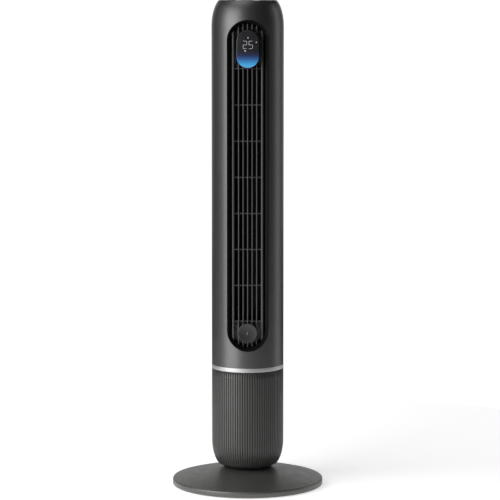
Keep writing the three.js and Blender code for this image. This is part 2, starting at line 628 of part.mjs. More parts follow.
add(tower, "outlet_bezel", OUTLET_BLACK, bezel());

// Upright bars stand across the outlet, a wide rail on each side and slats between them, with ribs behind
// them and a flat panel behind each end. Their ends reach the bevel, in front of the bezel's lip.
function outletGrille() {
  const bar = (x, width, front) =>
    box([x - width / 2, x + width / 2], [front, RAIL.back], [OUTLET.bottom, OUTLET.top]);
  const railX = OUTLET.half - RAIL.inset - RAIL.width / 2;
  const bars = [-1, 1].map((side) => bar(side * railX, RAIL.width, RAIL.front));
  for (let i = -SLAT.perSide; i <= SLAT.perSide; i++) bars.push(bar(i * SLAT.pitch, SLAT.width, SLAT.front));
  const rib = box([-railX, railX], [RIB.front, RIB.back], [-RIB.thick / 2, RIB.thick / 2]);
  const ribPitch = (RIB.highest - RIB.lowest) / (RIB.count - 1);
  const ribs = Array.from({ length: RIB.count }, (_, i) => moved(rib, 0, 0, RIB.lowest + i * ribPitch));
  const endPanels = [[OUTLET.bottom, RIB.lowest], [RIB.highest, OUTLET.top]].map((span) =>
    box([-OUTLET.half, OUTLET.half], [PANEL_FRONT, RAIL.back], span));
  const insideBevel = facing(insetOutlet(BEZEL.inset + GAP), RAIL.front, PANEL_FRONT - GAP);
  const insideLip = facing(insetOutlet(RAIL.inset), PANEL_FRONT - BITE, RAIL.back);
  const lattice = common(join(...bars, ...ribs, ...endPanels), join(insideBevel, insideLip));
  const displaySeat = facing(insetDisplay(-GAP), -FAR, PANEL_FRONT);
  const cupSeat = moved(rodAlongY(CUP.radius + GAP, -FAR, PANEL_FRONT, SMALL_SEGMENTS), 0, 0, AROMA.z);
  return cut(lattice, displaySeat, cupSeat);
}
add(tower, "outlet_grille", GRILLE_GREY, outletGrille());

// ---- the display pod ----------------------------------------------------------------------------------
const lensBack = DISPLAY.front + LENS.thick;

function displayHousing() {
  const { front, back, wall } = DISPLAY;
  const pod = facing(insetDisplay(0), front + LENS.proud, back);
  const lensSeat = facing(insetDisplay(LENS.rim), front - BITE, lensBack + GAP);
  const hollow = facing(insetDisplay(wall), front, back - wall);
  return cut(pod, lensSeat, hollow);
}
add(tower, "display_housing", OUTLET_BLACK, displayHousing());
add(tower, "display_lens", GLOSS_BLACK, facing(insetDisplay(LENS.rim + GAP), DISPLAY.front, lensBack));

function displayBoard() {
  const { inset, front, thick } = DISPLAY_BOARD;
  const { half, bottom, top } = DIGITS;
  const digits = box([-half, half], [DIGITS.front, front + thick / 2], [bottom, top]);
  return join(facing(insetDisplay(inset), front, front + thick), digits);
}
add(tower, "display_board", BOARD_GREEN, displayBoard());

// ---- the aroma capsule: a cap that pulls out of a cup in the outlet ------------------------------------
const cupBore = SLEEVE.radius + CUP.play;
const cupBack = PANEL_FRONT - GAP;
const cup = latheAlongY([
  [0, cupBack - CUP.floor],
  [cupBore, cupBack - CUP.floor],
  [cupBore, CUP.front],
  [CUP.radius, CUP.front],
  [CUP.radius, cupBack],
  [0, cupBack],
]);
add(capsule, "aroma_cup", OUTLET_BLACK, cup);

const sleeveInside = SLEEVE.radius - SLEEVE.wall;
const aromaCap = latheAlongY([
  [0, AROMA.front],
  [AROMA.radius - AROMA.edge, AROMA.front],
  [AROMA.radius, AROMA.front + AROMA.edge],
  [AROMA.radius, AROMA.back],
  [SLEEVE.radius, AROMA.back],
  [SLEEVE.radius, SLEEVE.back],
  [sleeveInside, SLEEVE.back],
  [sleeveInside, AROMA.back],
  [0, AROMA.back],
]);
add(capsule, "aroma_cap", GRAPHITE, aromaCap);
const felt = rodAlongY(sleeveInside - GAP, AROMA.back + GAP, FELT_BACK);
add(capsule, "aroma_pad", FELT_WHITE, felt);

// ---- the impeller and its motor -----------------------------------------------------------------------
// The blades lean over so far that they overlap when seen from the front.
function impeller() {
  const { radius, bottom, top, discs, plate, socket, socketWall } = IMPELLER;
  const { count, root, tip, sweep, thick } = BLADE;
  const discPitch = (top - bottom - plate) / (discs - 1);
  const plates = Array.from({ length: discs }, (_, i) => {
    const z = bottom + i * discPitch;
    const isEnd = i === 0 || i === discs - 1;
    return isEnd ? disc(radius, z, z + plate) : tube(root - BITE, radius, z, z + plate);
  });
  const lean = THREE.MathUtils.degToRad(sweep);
  const section = polygon([
    pointAt(root, 0),
    pointAt(tip, lean),
    pointAt(tip, lean + thick / tip),
    pointAt(root, thick / root),
  ]);
  const blade = upright(section, bottom, top);
  const blades = Array.from({ length: count }, (_, i) => turned(blade, (360 * i) / count));
  const hub = disc(MOTOR.shaft + socketWall, bottom, bottom + socket + plate, TINY_SEGMENTS);
  const journal = disc(MOTOR.shaft, top - BITE, BRIDGE.z + BUSH.tall, TINY_SEGMENTS);
  const shaftHole = disc(MOTOR.shaft + GAP, bottom - BITE, bottom + socket, TINY_SEGMENTS);
  return cut(join(...plates, ...blades, hub, journal), shaftHole);
}
add(airMover, "impeller", INNER_BLACK, impeller());

const canInside = MOTOR.radius - MOTOR.wall;
const canTop = MOTOR.top - MOTOR.capHeight;
const canFloor = MOTOR.bottom + MOTOR.wall;
const motorCan = lathe([
  [0, MOTOR.bottom],
  [canInside, MOTOR.bottom],
  [MOTOR.radius, canFloor],
  [MOTOR.radius, canTop],
  [canInside, canTop],
  [canInside, canFloor],
  [0, canFloor],
], SMALL_SEGMENTS);
add(airMover, "motor_can", BARE_STEEL, motorCan);

const [windingBottom, windingTop] = [MOTOR.bottom + WINDING.inset, MOTOR.top - WINDING.inset];
const stator = tube(MOTOR.rotor + WINDING.airGap, canInside - GAP, windingBottom, windingTop);
add(airMover, "motor_stator", WINDING_COPPER, stator);

const shaftFoot = canFloor + GAP;
const shaftHead = IMPELLER.bottom + IMPELLER.socket - GAP;
const [rotorBottom, rotorTop] = [MOTOR.bottom + WINDING.rotorInset, MOTOR.top - WINDING.rotorInset];
const motorRotor = lathe([
  [0, shaftFoot],
  [MOTOR.shaft, shaftFoot],
  [MOTOR.shaft, rotorBottom],
  [MOTOR.rotor, rotorBottom],
  [MOTOR.rotor, rotorTop],
  [MOTOR.shaft, rotorTop],
  [MOTOR.shaft, shaftHead],
  [0, shaftHead],
], SMALL_SEGMENTS);
add(airMover, "motor_rotor", BARE_STEEL, motorRotor);

const motorCap = lathe([
  [MOTOR.shaft + GAP, canTop + GAP],
  [MOTOR.radius, canTop + GAP],
  [MOTOR.radius, MOTOR.top - MOTOR.wall],
  [MOTOR.radius - MOTOR.chamfer, MOTOR.top],
  [MOTOR.shaft + GAP, MOTOR.top],
], SMALL_SEGMENTS);
add(airMover, "motor_cap", BARE_STEEL, motorCap);

// ---- the decks, which stop behind the outlet -----------------------------------------------------------
const outletClearance = box([-FAR, FAR], [-FAR, RAIL.back + GAP], [0, HEIGHT]);
const onMotorAxis = (geometry) => moved(geometry, 0, IMPELLER.y);
const aroundMotor = (geometry, degrees) => onMotorAxis(turned(moved(geometry, MOUNT.ring, 0), degrees));

function motorDeck() {
  const [below, above] = [DECK.z - BITE, DECK.z + DECK.thick + BITE];
  const plate = disc(FIT_R, DECK.z, DECK.z + DECK.thick, ROUND_SEGMENTS);
  const grommetHole = disc(MOUNT.waist + GAP, below, above, TINY_SEGMENTS);
  const grommetHoles = MOUNT.angles.map((degrees) => aroundMotor(grommetHole, degrees));
  return cut(plate, onMotorAxis(disc(DECK.opening, below, above)), ...grommetHoles, outletClearance);
}
add(tower, "motor_deck", INNER_BLACK, motorDeck());

MOUNT.angles.forEach((degrees, i) => {
  const foot = MOTOR.top + GAP;
  const above = DECK.z + DECK.thick + GAP;
  const grommet = lathe([
    [0, foot],
    [MOUNT.foot, foot],
    [MOUNT.foot, DECK.z - GAP],
    [MOUNT.waist, DECK.z - GAP],
    [MOUNT.waist, above],
    [MOUNT.head, above],
    [MOUNT.head, above + MOUNT.headTall],
    [0, above + MOUNT.headTall],
  ], TINY_SEGMENTS);
  const [x, y] = pointAt(MOUNT.ring, THREE.MathUtils.degToRad(degrees));
  add(airMover, `motor_mount_${i + 1}`, RUBBER_BLACK, grommet).position.set(x, y, 0);
});

function bearingBridge() {
  const plate = disc(FIT_R, BRIDGE.z, BRIDGE.z + BRIDGE.thick, ROUND_SEGMENTS);
  const boss = onMotorAxis(disc(BRIDGE.boss, BRIDGE.z, BRIDGE.z + BRIDGE.tall));
  const bore = onMotorAxis(disc(BUSH.radius + GAP, BRIDGE.z - BITE, BRIDGE.z + BRIDGE.tall + BITE));
  return cut(join(plate, boss), bore, outletClearance);
}
add(tower, "bearing_bridge", INNER_BLACK, bearingBridge());
const bush = tube(MOTOR.shaft + GAP, BUSH.radius, BRIDGE.z, BRIDGE.z + BUSH.tall);
add(airMover, "bearing_bush", RUBBER_BLACK, bush);

// ---- the air duct: a scroll on one side of the impeller and a cut-off on the other ---------------------
// A wall of even thickness along a line of [x, y] points.
function wallAlong(points) {
  const path = points.map(([x, y]) => new THREE.Vector2(x, y));
  const side = (sign) => path.map(({ x, y }, i) => {
    const before = path[Math.max(0, i - 1)];
    const after = path[Math.min(path.length - 1, i + 1)];
    const along = after.clone().sub(before).setLength((sign * DUCT.wall) / 2);
    return [x - along.y, y + along.x];
  });
  return upright(polygon([...side(1), ...side(-1).reverse()]), DUCT.bottom, DUCT.top);
}

const scrollPoints = Array.from({ length: SCROLL.steps + 1 }, (_, i) => {
  const share = i / SCROLL.steps;
  const radius = SCROLL.radius + SCROLL.growth * share ** SCROLL.power;
  return pointAt(radius, THREE.MathUtils.degToRad(SCROLL.from + SCROLL.sweep * share));
});
add(airMover, "duct_scroll", INNER_BLACK, wallAlong(scrollPoints));
add(tower, "duct_cutoff", INNER_BLACK, wallAlong(CUTOFF));

// ---- the control panel on top -------------------------------------------------------------------------
const buttonHoles = BUTTONS.map(({ x, y, radius }) =>
  moved(disc(radius + SKIN_INSET, TOP_PANEL.bottom - BITE, HEIGHT), x, y));
const panelPlate = disc(TOP_PANEL.radius, TOP_PANEL.bottom, TOP_PANEL.top, ROUND_SEGMENTS);
add(tower, "control_panel", GLOSS_BLACK, cut(panelPlate, ...buttonHoles));

for (const { name, x, y, radius } of BUTTONS) {
  const { top, dish, edge, stem } = BUTTON;
  const rim = radius + BUTTON_FLANGE.width;
  const stemBottom = SWITCH.top + SWITCH.stemGap;
  const button = lathe([
    [0, stemBottom],
    [stem, stemBottom],
    [stem, BUTTON_FLANGE.bottom],
    [rim, BUTTON_FLANGE.bottom],
    [rim, BUTTON_FLANGE.top],
    [radius, BUTTON_FLANGE.top],
    [radius, top - edge],
    [radius - edge, top],
    [0, top - dish],
  ], SMALL_SEGMENTS);
  add(tower, name, GLOSS_BLACK, button).position.set(x, y, 0);
}

function controlBoard() {
  const { bottom, thick, post: postRadius, postRing, angles } = TOP_BOARD;
  const boardTop = bottom + thick;
  const postTop = TOP_PANEL.bottom - WALL - 2 * GAP;
  const board = disc(TOP_PANEL.radius, bottom, boardTop);
  const standoff = moved(disc(postRadius, bottom, postTop, TINY_SEGMENTS), postRing, 0);
  const { half } = SWITCH;
  const key = box([-half, half], [-half, half], [boardTop - thick / 2, SWITCH.top]);
  const keys = BUTTONS.map(({ x, y }) => moved(key, x, y));
  return join(board, ...angles.map((degrees) => turned(standoff, degrees)), ...keys);
}
add(tower, "control_board", BOARD_GREEN, controlBoard());

export default fan;
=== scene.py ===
"""The visual model of an oscillating tower fan, built over its CAD frame. Metres, +Z up, front facing -Y.

Fine meshes replace most CAD nodes that show. The other CAD nodes keep their shapes and get materials."""

import json
import math

import bmesh
import bpy
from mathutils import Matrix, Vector


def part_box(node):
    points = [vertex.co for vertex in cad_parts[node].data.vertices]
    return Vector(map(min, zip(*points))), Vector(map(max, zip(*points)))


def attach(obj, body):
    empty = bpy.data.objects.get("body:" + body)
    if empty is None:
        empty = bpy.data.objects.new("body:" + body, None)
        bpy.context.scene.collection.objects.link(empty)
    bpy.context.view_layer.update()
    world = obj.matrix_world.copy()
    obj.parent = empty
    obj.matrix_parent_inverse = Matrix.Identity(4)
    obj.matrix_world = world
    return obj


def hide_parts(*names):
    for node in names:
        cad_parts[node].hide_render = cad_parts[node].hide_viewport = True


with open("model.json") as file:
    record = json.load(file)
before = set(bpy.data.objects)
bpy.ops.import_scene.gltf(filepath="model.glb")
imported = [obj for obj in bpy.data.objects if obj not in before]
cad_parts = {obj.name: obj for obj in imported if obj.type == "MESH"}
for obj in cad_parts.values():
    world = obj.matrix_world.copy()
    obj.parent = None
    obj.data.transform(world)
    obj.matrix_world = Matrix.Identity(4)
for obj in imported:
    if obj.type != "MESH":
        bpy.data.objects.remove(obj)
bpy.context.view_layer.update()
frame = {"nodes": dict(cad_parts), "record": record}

MM = 0.001
GAP = 0.3 * MM
MERGE = 1e-6    # points closer than this, in metres, become one


def box_middle(node):
    """The middle of a CAD node's box."""
    low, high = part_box(node)
    return [(a + b) / 2 for a, b in zip(low, high)]


# ---- places read from the frame -------------------------------------------------------------------------
BARREL_LOW, BARREL_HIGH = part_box("lower_barrel")
SHELL_LOW, SHELL_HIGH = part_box("front_shell")
FOOT_LOW, FOOT_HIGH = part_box("base_plate")
RING_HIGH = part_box("trim_ring")[1]
OUTLET_LOW, OUTLET_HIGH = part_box("outlet_bezel")
RAIL_LOW, RAIL_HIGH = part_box("outlet_grille")
POD_LOW, POD_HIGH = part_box("display_housing")
LENS_LOW, LENS_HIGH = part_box("display_lens")
CAP_LOW, CAP_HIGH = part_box("aroma_cap")
INTAKE_LOW, INTAKE_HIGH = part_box("rear_grille")
GRIP_LOW, GRIP_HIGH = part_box("grip_pocket")
PANEL_LOW, PANEL_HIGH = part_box("control_panel")
COLLAR_LOW, COLLAR_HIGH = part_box("neck_collar")
CUP_LOW, CUP_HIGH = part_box("aroma_cup")
SCREW_PLACES = [(box_middle(f"shell_screw_{i}")[0], box_middle(f"shell_screw_{i}")[2]) for i in range(1, 5)]

# ---- the column: its two ends curve in as quarter ellipses ----------------------------------------------
BODY_R = BARREL_HIGH[0]
HEIGHT = SHELL_HIGH[2]
WALL = 2.5 * MM
FLUTE_COUNT = 90
FLUTE_DEPTH = 1.6 * MM
FLUTE_COLUMNS = 12    # faces across one flute
LOW_CURVE_START = BARREL_LOW[2] + 50 * MM
LOW_CURVE_ACROSS = 25.8 * MM
LOW_CURVE_ALONG = 57 * MM
HIGH_CURVE_START = HEIGHT - 56 * MM
HIGH_CURVE_ACROSS = 26 * MM
HIGH_CURVE_ALONG = 61 * MM
CUT_PAST_SKIN = 10 * MM
CUT_END = 20 * MM    # how far from the axis the cuts through the shells end

# ---- the outlet: its opening, bevel, slats, rails and ribs ----------------------------------------------
OUTLET_HALF = OUTLET_HIGH[0] + GAP
OUTLET_BOTTOM = OUTLET_LOW[2] - GAP
OUTLET_TOP = OUTLET_HIGH[2] + GAP
BEZEL_INSET = 7.8 * MM
BEZEL_FRONT = -58 * MM
SLAT_PITCH = 9.65 * MM
SLAT_HALF = 1.2 * MM
SLAT_NOSE = 1.1 * MM
SLAT_INSET = 8.1 * MM
SLAT_FRONT = -60.5 * MM
BAR_BACK = -50.6 * MM
RAIL_HALF = 2.35 * MM
RAIL_NOSE = 1.4 * MM
RIB_LOWEST = 365.5 * MM
RIB_HIGHEST = 906.4 * MM
RIB_COUNT = 8
RIB_HALF = 1 * MM
RIB_FRONT = -59 * MM
RIB_BACK = -50 * MM
END_PANEL_FRONT = -50.3 * MM

# ---- screws and buttons ---------------------------------------------------------------------------------
SCREW_WELL = 4.1 * MM
BUTTON_FLANGE = 1.4 * MM
BUTTON_NAMES = ["power", "speed", "timer", "mode", "swing"]

# ---- the view -------------------------------------------------------------------------------------------
FLOOR_RADIUS = 1.1
LIGHT_TARGET = (0, 0, 0.55)
EYE = (0, -5.29, 1.14)
EYE_PITCH = math.radians(90 - 6.21)    # 6.21 degrees below level
LENS = 177.5


# ---- node materials -------------------------------------------------------------------------------------
class Finish:
    """A node material in the making: a Principled shader, and short ways to feed it."""

    def __init__(self, name, color, roughness, metallic=0.0, coat=0.0, coat_roughness=0.1):
        self.material = bpy.data.materials.new(name)
        self.material.use_nodes = True
        self.nodes = self.material.node_tree.nodes
        self.links = self.material.node_tree.links
        self.shader = self.nodes["Principled BSDF"]
        self.color = color
        self.roughness = roughness
        self.shader.inputs["Base Color"].default_value = (*color, 1)
        self.shader.inputs["Roughness"].default_value = roughness
        self.shader.inputs["Metallic"].default_value = metallic
        self.shader.inputs["Coat Weight"].default_value = coat
        self.shader.inputs["Coat Roughness"].default_value = coat_roughness
        self.normal = None
        self.place = self.nodes.new("ShaderNodeTexCoord").outputs["Object"]

    def stretched(self, scale):
        """Object coordinates, stretched along each axis."""
        mapping = self.nodes.new("ShaderNodeMapping")
        mapping.inputs["Scale"].default_value = scale
        self.links.new(self.place, mapping.inputs["Vector"])
        return mapping.outputs["Vector"]

    def noise(self, scale, detail, along=None):
        """Noise over object coordinates, or over stretched ones."""
        texture = self.nodes.new("ShaderNodeTexNoise")
        texture.inputs["Scale"].default_value = scale
        texture.inputs["Detail"].default_value = detail
        self.links.new(along or self.place, texture.inputs["Vector"])
        return texture.outputs["Fac"]

    def spread(self, value, low, high):
        """Spreads a texture's middle range between two values."""
        remap = self.nodes.new("ShaderNodeMapRange")
        remap.inputs["From Min"].default_value = 0.3
        remap.inputs["From Max"].default_value = 0.7
        remap.inputs["To Min"].default_value = low
        remap.inputs["To Max"].default_value = high
        self.links.new(value, remap.inputs["Value"])
        return remap.outputs["Result"]

    def tint(self, value, amount):
        """Varies the colour's brightness by that share either way."""
        mix = self.nodes.new("ShaderNodeMix")
        mix.data_type = "RGBA"
        mix.inputs["A"].default_value = (*[c * (1 - amount) for c in self.color], 1)
        mix.inputs["B"].default_value = (*[min(1, c * (1 + amount)) for c in self.color], 1)
        self.links.new(self.spread(value, 0, 1), mix.inputs["Factor"])
        self.links.new(mix.outputs["Result"], self.shader.inputs["Base Color"])
        return self

    def sheen_variation(self, value, amount):
        """Varies the roughness by that much either way."""
        spread = self.spread(value, self.roughness - amount, self.roughness + amount)
        self.links.new(spread, self.shader.inputs["Roughness"])
        return self

    def bump(self, value, strength, distance):
        """Adds a bump on top of the bumps before it."""
        node = self.nodes.new("ShaderNodeBump")
        node.inputs["Strength"].default_value = strength
        node.inputs["Distance"].default_value = distance
        self.links.new(value, node.inputs["Height"])
        if self.normal:
            self.links.new(self.normal, node.inputs["Normal"])
        self.normal = node.outputs["Normal"]
        self.links.new(self.normal, self.shader.inputs["Normal"])
        return self


def moulded(name, color, roughness, grain=1800, bump=0.12, coat=0.0, specular=0.5):
    """Moulded plastic: fine grain, slow changes of colour, and uneven gloss."""
    finish = Finish(name, color, roughness, coat=coat)
    finish.shader.inputs["Specular IOR Level"].default_value = specular
    finish.tint(finish.noise(9, detail=3), amount=0.05)
    finish.sheen_variation(finish.noise(60, detail=5), amount=0.04)
    finish.bump(finish.noise(grain, detail=2), strength=bump, distance=0.05 * MM)
    return finish.material


def metallic_paint(name, color):
    """Satin graphite paint: small flakes under a soft clear coat."""
    finish = Finish(name, color, roughness=0.42, metallic=0.8, coat=0.1, coat_roughness=0.35)
    flakes = finish.nodes.new("ShaderNodeTexVoronoi")
    flakes.inputs["Scale"].default_value = 1900
    finish.links.new(finish.place, flakes.inputs["Vector"])
    finish.tint(flakes.outputs["Distance"], amount=0.1)
    finish.sheen_variation(finish.noise(45, detail=4), amount=0.02)
    finish.bump(finish.noise(900, detail=2), strength=0.05, distance=0.02 * MM)
    return finish.material


def brushed_metal(name, color, roughness, along=(1, 1, 60)):
    """Metal with fine marks that run across the stretched axis."""
    finish = Finish(name, color, roughness, metallic=1.0)
    marks = finish.noise(90, detail=6, along=finish.stretched(along))
    finish.tint(marks, amount=0.08)
    finish.sheen_variation(marks, amount=0.07)
    finish.bump(marks, strength=0.12, distance=0.03 * MM)
    return finish.material


def circuit_board():
    """Green solder resist over copper tracks."""
    green = (0.02, 0.13, 0.055)
    finish = Finish("board_green", green, roughness=0.35, coat=0.3)
    tracks = finish.nodes.new("ShaderNodeTexBrick")
    tracks.inputs["Scale"].default_value = 160
    tracks.inputs["Color1"].default_value = (*green, 1)
    tracks.inputs["Color2"].default_value = (0.03, 0.17, 0.07, 1)
    tracks.inputs["Mortar"].default_value = (0.015, 0.09, 0.04, 1)
    finish.links.new(finish.place, tracks.inputs["Vector"])
    finish.links.new(tracks.outputs["Color"], finish.shader.inputs["Base Color"])
    finish.bump(tracks.outputs["Fac"], strength=0.3, distance=0.05 * MM)
    return finish.material


def felt():
    """Pale pressed fibres."""
    finish = Finish("felt_white", (0.8, 0.79, 0.75), roughness=0.95)
    finish.shader.inputs["Sheen Weight"].default_value = 0.4
    fibres = finish.noise(700, detail=8)
    finish.tint(fibres, amount=0.1)
    finish.bump(fibres, strength=0.6, distance=0.2 * MM)
    return finish.material


def lens_glass():
    """The display's window: dark grey above, and a glow below that runs from navy to bright blue."""
    finish = Finish("display_window", (0.016, 0.016, 0.018), roughness=0.2, coat=0.4, coat_roughness=0.08)
    finish.sheen_variation(finish.noise(30, detail=3), amount=0.03)
    split = finish.nodes.new("ShaderNodeSeparateXYZ")
    finish.links.new(finish.place, split.inputs["Vector"])
    height = finish.nodes.new("ShaderNodeMapRange")
    height.inputs["From Min"].default_value = LENS_LOW[2]
    height.inputs["From Max"].default_value = LENS_HIGH[2]
    finish.links.new(split.outputs["Z"], height.inputs["Value"])
    glow = finish.nodes.new("ShaderNodeValToRGB")
    stops = [
        (0.0, (0.12, 0.37, 0.62)),
        (0.08, (0.05, 0.35, 0.7)),
        (0.24, (0.02, 0.08, 0.26)),
        (0.33, (0.01, 0.02, 0.06)),
        (0.45, (0.006, 0.006, 0.006)),
    ]
    ramp = glow.color_ramp.elements
    while len(ramp) < len(stops):
        ramp.new(0.5)
    for element, (position, color) in zip(ramp, stops):
        element.position = position
        element.color = (*color, 1)
    finish.links.new(height.outputs["Result"], glow.inputs["Fac"])
    finish.links.new(glow.outputs["Color"], finish.shader.inputs["Emission Color"])
    finish.shader.inputs["Emission Strength"].default_value = 1.0
    return finish.material


def lit_mark():
    """The display's digits and signs: white light with a slight unevenness."""
    finish = Finish("display_light", (0.3, 0.3, 0.3), roughness=0.4)
    finish.tint(finish.noise(400, detail=2), amount=0.08)
    finish.shader.inputs["Emission Color"].default_value = (0.92, 0.95, 1.0, 1)
    finish.shader.inputs["Emission Strength"].default_value = 0.45
    return finish.material


def printed_mark():
    """Pale grey ink."""
    finish = Finish("panel_ink", (0.4, 0.41, 0.42), roughness=0.5)
    finish.tint(finish.noise(500, detail=2), amount=0.08)
    return finish.material


PAINT = metallic_paint("graphite_paint", (0.104, 0.104, 0.103))
CAP_PAINT = metallic_paint("cap_paint", (0.068, 0.068, 0.069))
NOTCH = metallic_paint("notch_paint", (0.2, 0.2, 0.2))
FLUTED = moulded("fluted_graphite", (0.036, 0.0353, 0.0333), 0.42, grain=1500, bump=0.1, specular=0.75)
# Painted shade: a darker, duller copy of the fluted grey for the faces at the bottom of each groove.
GROOVE_PAINTED_SHADE = moulded("fluted_groove_painted_shade", (0.02, 0.0196, 0.0185), 0.6, grain=1500, bump=0.1, specular=0.25)
FOOT = moulded("foot_grey", (0.056, 0.056, 0.051), 0.42, grain=2200, bump=0.2, specular=1.0)
BLACK = moulded("outlet_black", (0.006, 0.0065, 0.007), 0.45, bump=0.06, specular=0.03)
# Painted light: the end panels' bluish grey is lightened well past the grille's grey, standing in for light
# that the slats and the cap shade off them.
END_PANEL_PAINTED_LIGHT = moulded("end_panel_painted_light", (0.2, 0.21, 0.225), 0.45, bump=0.06)
GRILLE = moulded("grille_grey", (0.062, 0.062, 0.064), 0.4, bump=0.06)
GLOSS = moulded("gloss_black", (0.006, 0.006, 0.007), 0.2, grain=400, bump=0.01, coat=0.1, specular=0.3)
INNER = moulded("inner_black", (0.012, 0.012, 0.013), 0.55)
NYLON = moulded("natural_nylon", (0.72, 0.7, 0.62), 0.45, bump=0.08)
RUBBER = moulded("rubber_black", (0.013, 0.013, 0.013), 0.85, grain=900, bump=0.4)
SILVER = brushed_metal("satin_silver", (0.52, 0.525, 0.525), 0.55)
STEEL = brushed_metal("bare_steel", (0.42, 0.43, 0.44), 0.35, along=(30, 1, 1))
COPPER = brushed_metal("winding_copper", (0.45, 0.2, 0.09), 0.4, along=(1, 1, 200))
BOARD = circuit_board()
FELT = felt()
WINDOW = lens_glass()
LIGHT = lit_mark()
INK = printed_mark()
SLOT_FINISH = {
    "graphite": PAINT,
    "fluted_graphite": FLUTED,
    "foot_grey": FOOT,
    "outlet_black": BLACK,
    "grille_grey": GRILLE,
    "gloss_black": GLOSS,
    "satin_silver": SILVER,
    "bare_steel": STEEL,
    "inner_black": INNER,
    "natural_nylon": NYLON,
    "rubber_black": RUBBER,
    "board_green": BOARD,
    "winding_copper": COPPER,
    "felt_white": FELT,
}


# ---- mesh helpers ---------------------------------------------------------------------------------------
def clean_mesh(name, verts, faces):
    """A mesh with its doubled points merged and its faces pointing out."""
    mesh = bpy.data.meshes.new(name)
    mesh.from_pydata([tuple(v) for v in verts], [], faces)
    bm = bmesh.new()
    bm.from_mesh(mesh)
    bmesh.ops.remove_doubles(bm, verts=bm.verts, dist=MERGE)
    bmesh.ops.recalc_face_normals(bm, faces=bm.faces)
    bm.to_mesh(mesh)
    bm.free()
    return mesh


def piece(name, verts, faces, material, body, replaces=()):
    """A mesh object that rides on a CAD body, with its material."""
    mesh = clean_mesh(name, verts, faces)
    obj = bpy.data.objects.new(name, mesh)
    bpy.context.scene.collection.objects.link(obj)
    mesh.materials.append(material)
    for polygon in mesh.polygons:
        polygon.use_smooth = True
    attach(obj, body)
    if replaces:
        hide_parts(*replaces)
    return obj


def bevel(obj, width, segments=3, angle=30):
    """Rounds the edges sharper than that angle, and keeps flat faces flat."""
    modifier = obj.modifiers.new("rounded_edges", "BEVEL")
    modifier.width = width
    modifier.segments = segments
    modifier.limit_method = "ANGLE"
    modifier.angle_limit = math.radians(angle)
    modifier.harden_normals = True
    return obj


def apply_modifiers(obj):
    """Puts the mesh that the modifiers make in the place of the piece's own."""
    graph = bpy.context.evaluated_depsgraph_get()
    mesh = bpy.data.meshes.new_from_object(obj.evaluated_get(graph))
    obj.modifiers.clear()
    obj.data = mesh


def grid_faces(rows, columns, close_rows=False, close_columns=True):
    """Quads over a grid of points stored row after row."""
    faces = []
    for i in range(rows if close_rows else rows - 1):
        for j in range(columns if close_columns else columns - 1):
            a = i * columns + j
            b = i * columns + (j + 1) % columns
            c = (i + 1) % rows * columns + (j + 1) % columns
            d = (i + 1) % rows * columns + j
            faces.append((a, b, c, d))
    return faces


def bezier(start, control, end, steps):
    """Points [a, b] along a curve that leaves start and reaches end pointing at the control point."""
    points = []
    for k in range(steps + 1):
        t = k / steps
        weights = ((1 - t) ** 2, 2 * t * (1 - t), t ** 2)
        points.append(tuple(start[i] * weights[0] + control[i] * weights[1] + end[i] * weights[2]
                            for i in (0, 1)))
    return points


def rounded(profile, radius, steps=4):
    """A closed outline of [a, b] with its corners off the axis rounded, by at most that radius."""
    nearly_straight = math.radians(165)
    side_share = 0.45
    points = []
    count = len(profile)
    for i, corner in enumerate(profile):
        corner = Vector(corner)
        before = Vector(profile[i - 1]) - corner
        after = Vector(profile[(i + 1) % count]) - corner
        if corner.x < MERGE or before.angle(after) > nearly_straight:
            points.append(tuple(corner))
            continue
        reach = min(radius, before.length * side_share, after.length * side_share)
        start = corner + before.normalized() * reach
        end = corner + after.normalized() * reach
        points += bezier(start, corner, end, steps)
    return points


def around(radius, turn, z):
    """The point at a radius and height, at a turn from the front towards +X."""
    return Vector((radius * math.sin(turn), -radius * math.cos(turn), z))


def lathe_points(profile, segments, axis="Z", centre=(0, 0, 0)):
    """Rows of points round an axis; the profile lists [radius, distance along the axis]."""
    points = []
    for radius, along in profile:
        for j in range(segments):
            turn = 2 * math.pi * j / segments
            across, up = radius * math.cos(turn), radius * math.sin(turn)
            spot = (across, up, along) if axis == "Z" else (across, along, up)
            points.append(Vector(spot) + Vector(centre))
    return points


def lathe(name, profile, material, body, replaces=(), segments=192, axis="Z", centre=(0, 0, 0)):
    """A closed solid of revolution. Its profile goes round, and may touch the axis."""
    points = lathe_points(profile, segments, axis, centre)
    faces = grid_faces(len(profile), segments, close_rows=True)
    obj = piece(name, points, faces, material, body, replaces)
    bm = bmesh.new()
    bm.from_mesh(obj.data)
    bmesh.ops.dissolve_degenerate(bm, dist=MERGE / 10, edges=bm.edges)
    bmesh.ops.recalc_face_normals(bm, faces=bm.faces)
    bm.to_mesh(obj.data)
    bm.free()
    return obj


def stadium(half, bottom, top, arc_steps=32, straight_steps=24):
    """Points [x, z] round an upright stadium, anticlockwise from its right side's foot."""
    low, high = bottom + half, top - half
    points = []
    for k in range(straight_steps):
        points.append((half, low + (high - low) * k / straight_steps))
    for k in range(arc_steps):
        turn = math.pi * k / arc_steps
        points.append((half * math.cos(turn), high + half * math.sin(turn)))
    for k in range(straight_steps):
        points.append((-half, high + (low - high) * k / straight_steps))
    for k in range(arc_steps):
        turn = math.pi + math.pi * k / arc_steps
        points.append((half * math.cos(turn), low + half * math.sin(turn)))
    return points


def inset_outlet(inset):
    """The outlet's outline, moved inwards."""
    return stadium(OUTLET_HALF - inset, OUTLET_BOTTOM + inset, OUTLET_TOP - inset)


def end_caps(first, last, count):
    """The faces that close a grid over its first and last rows, of count points each."""
    return [tuple(range(row * count, (row + 1) * count)) for row in (first, last)]


def capped(points, count):
    """Two rings of points as a closed prism."""
    return points, grid_faces(2, count) + end_caps(0, 1, count)


def prism(outline, y0, y1):
    """A front view drawn as [x, z], between two depths."""
    points = [Vector((x, y, z)) for y in (y0, y1) for x, z in outline]
    return capped(points, len(outline))


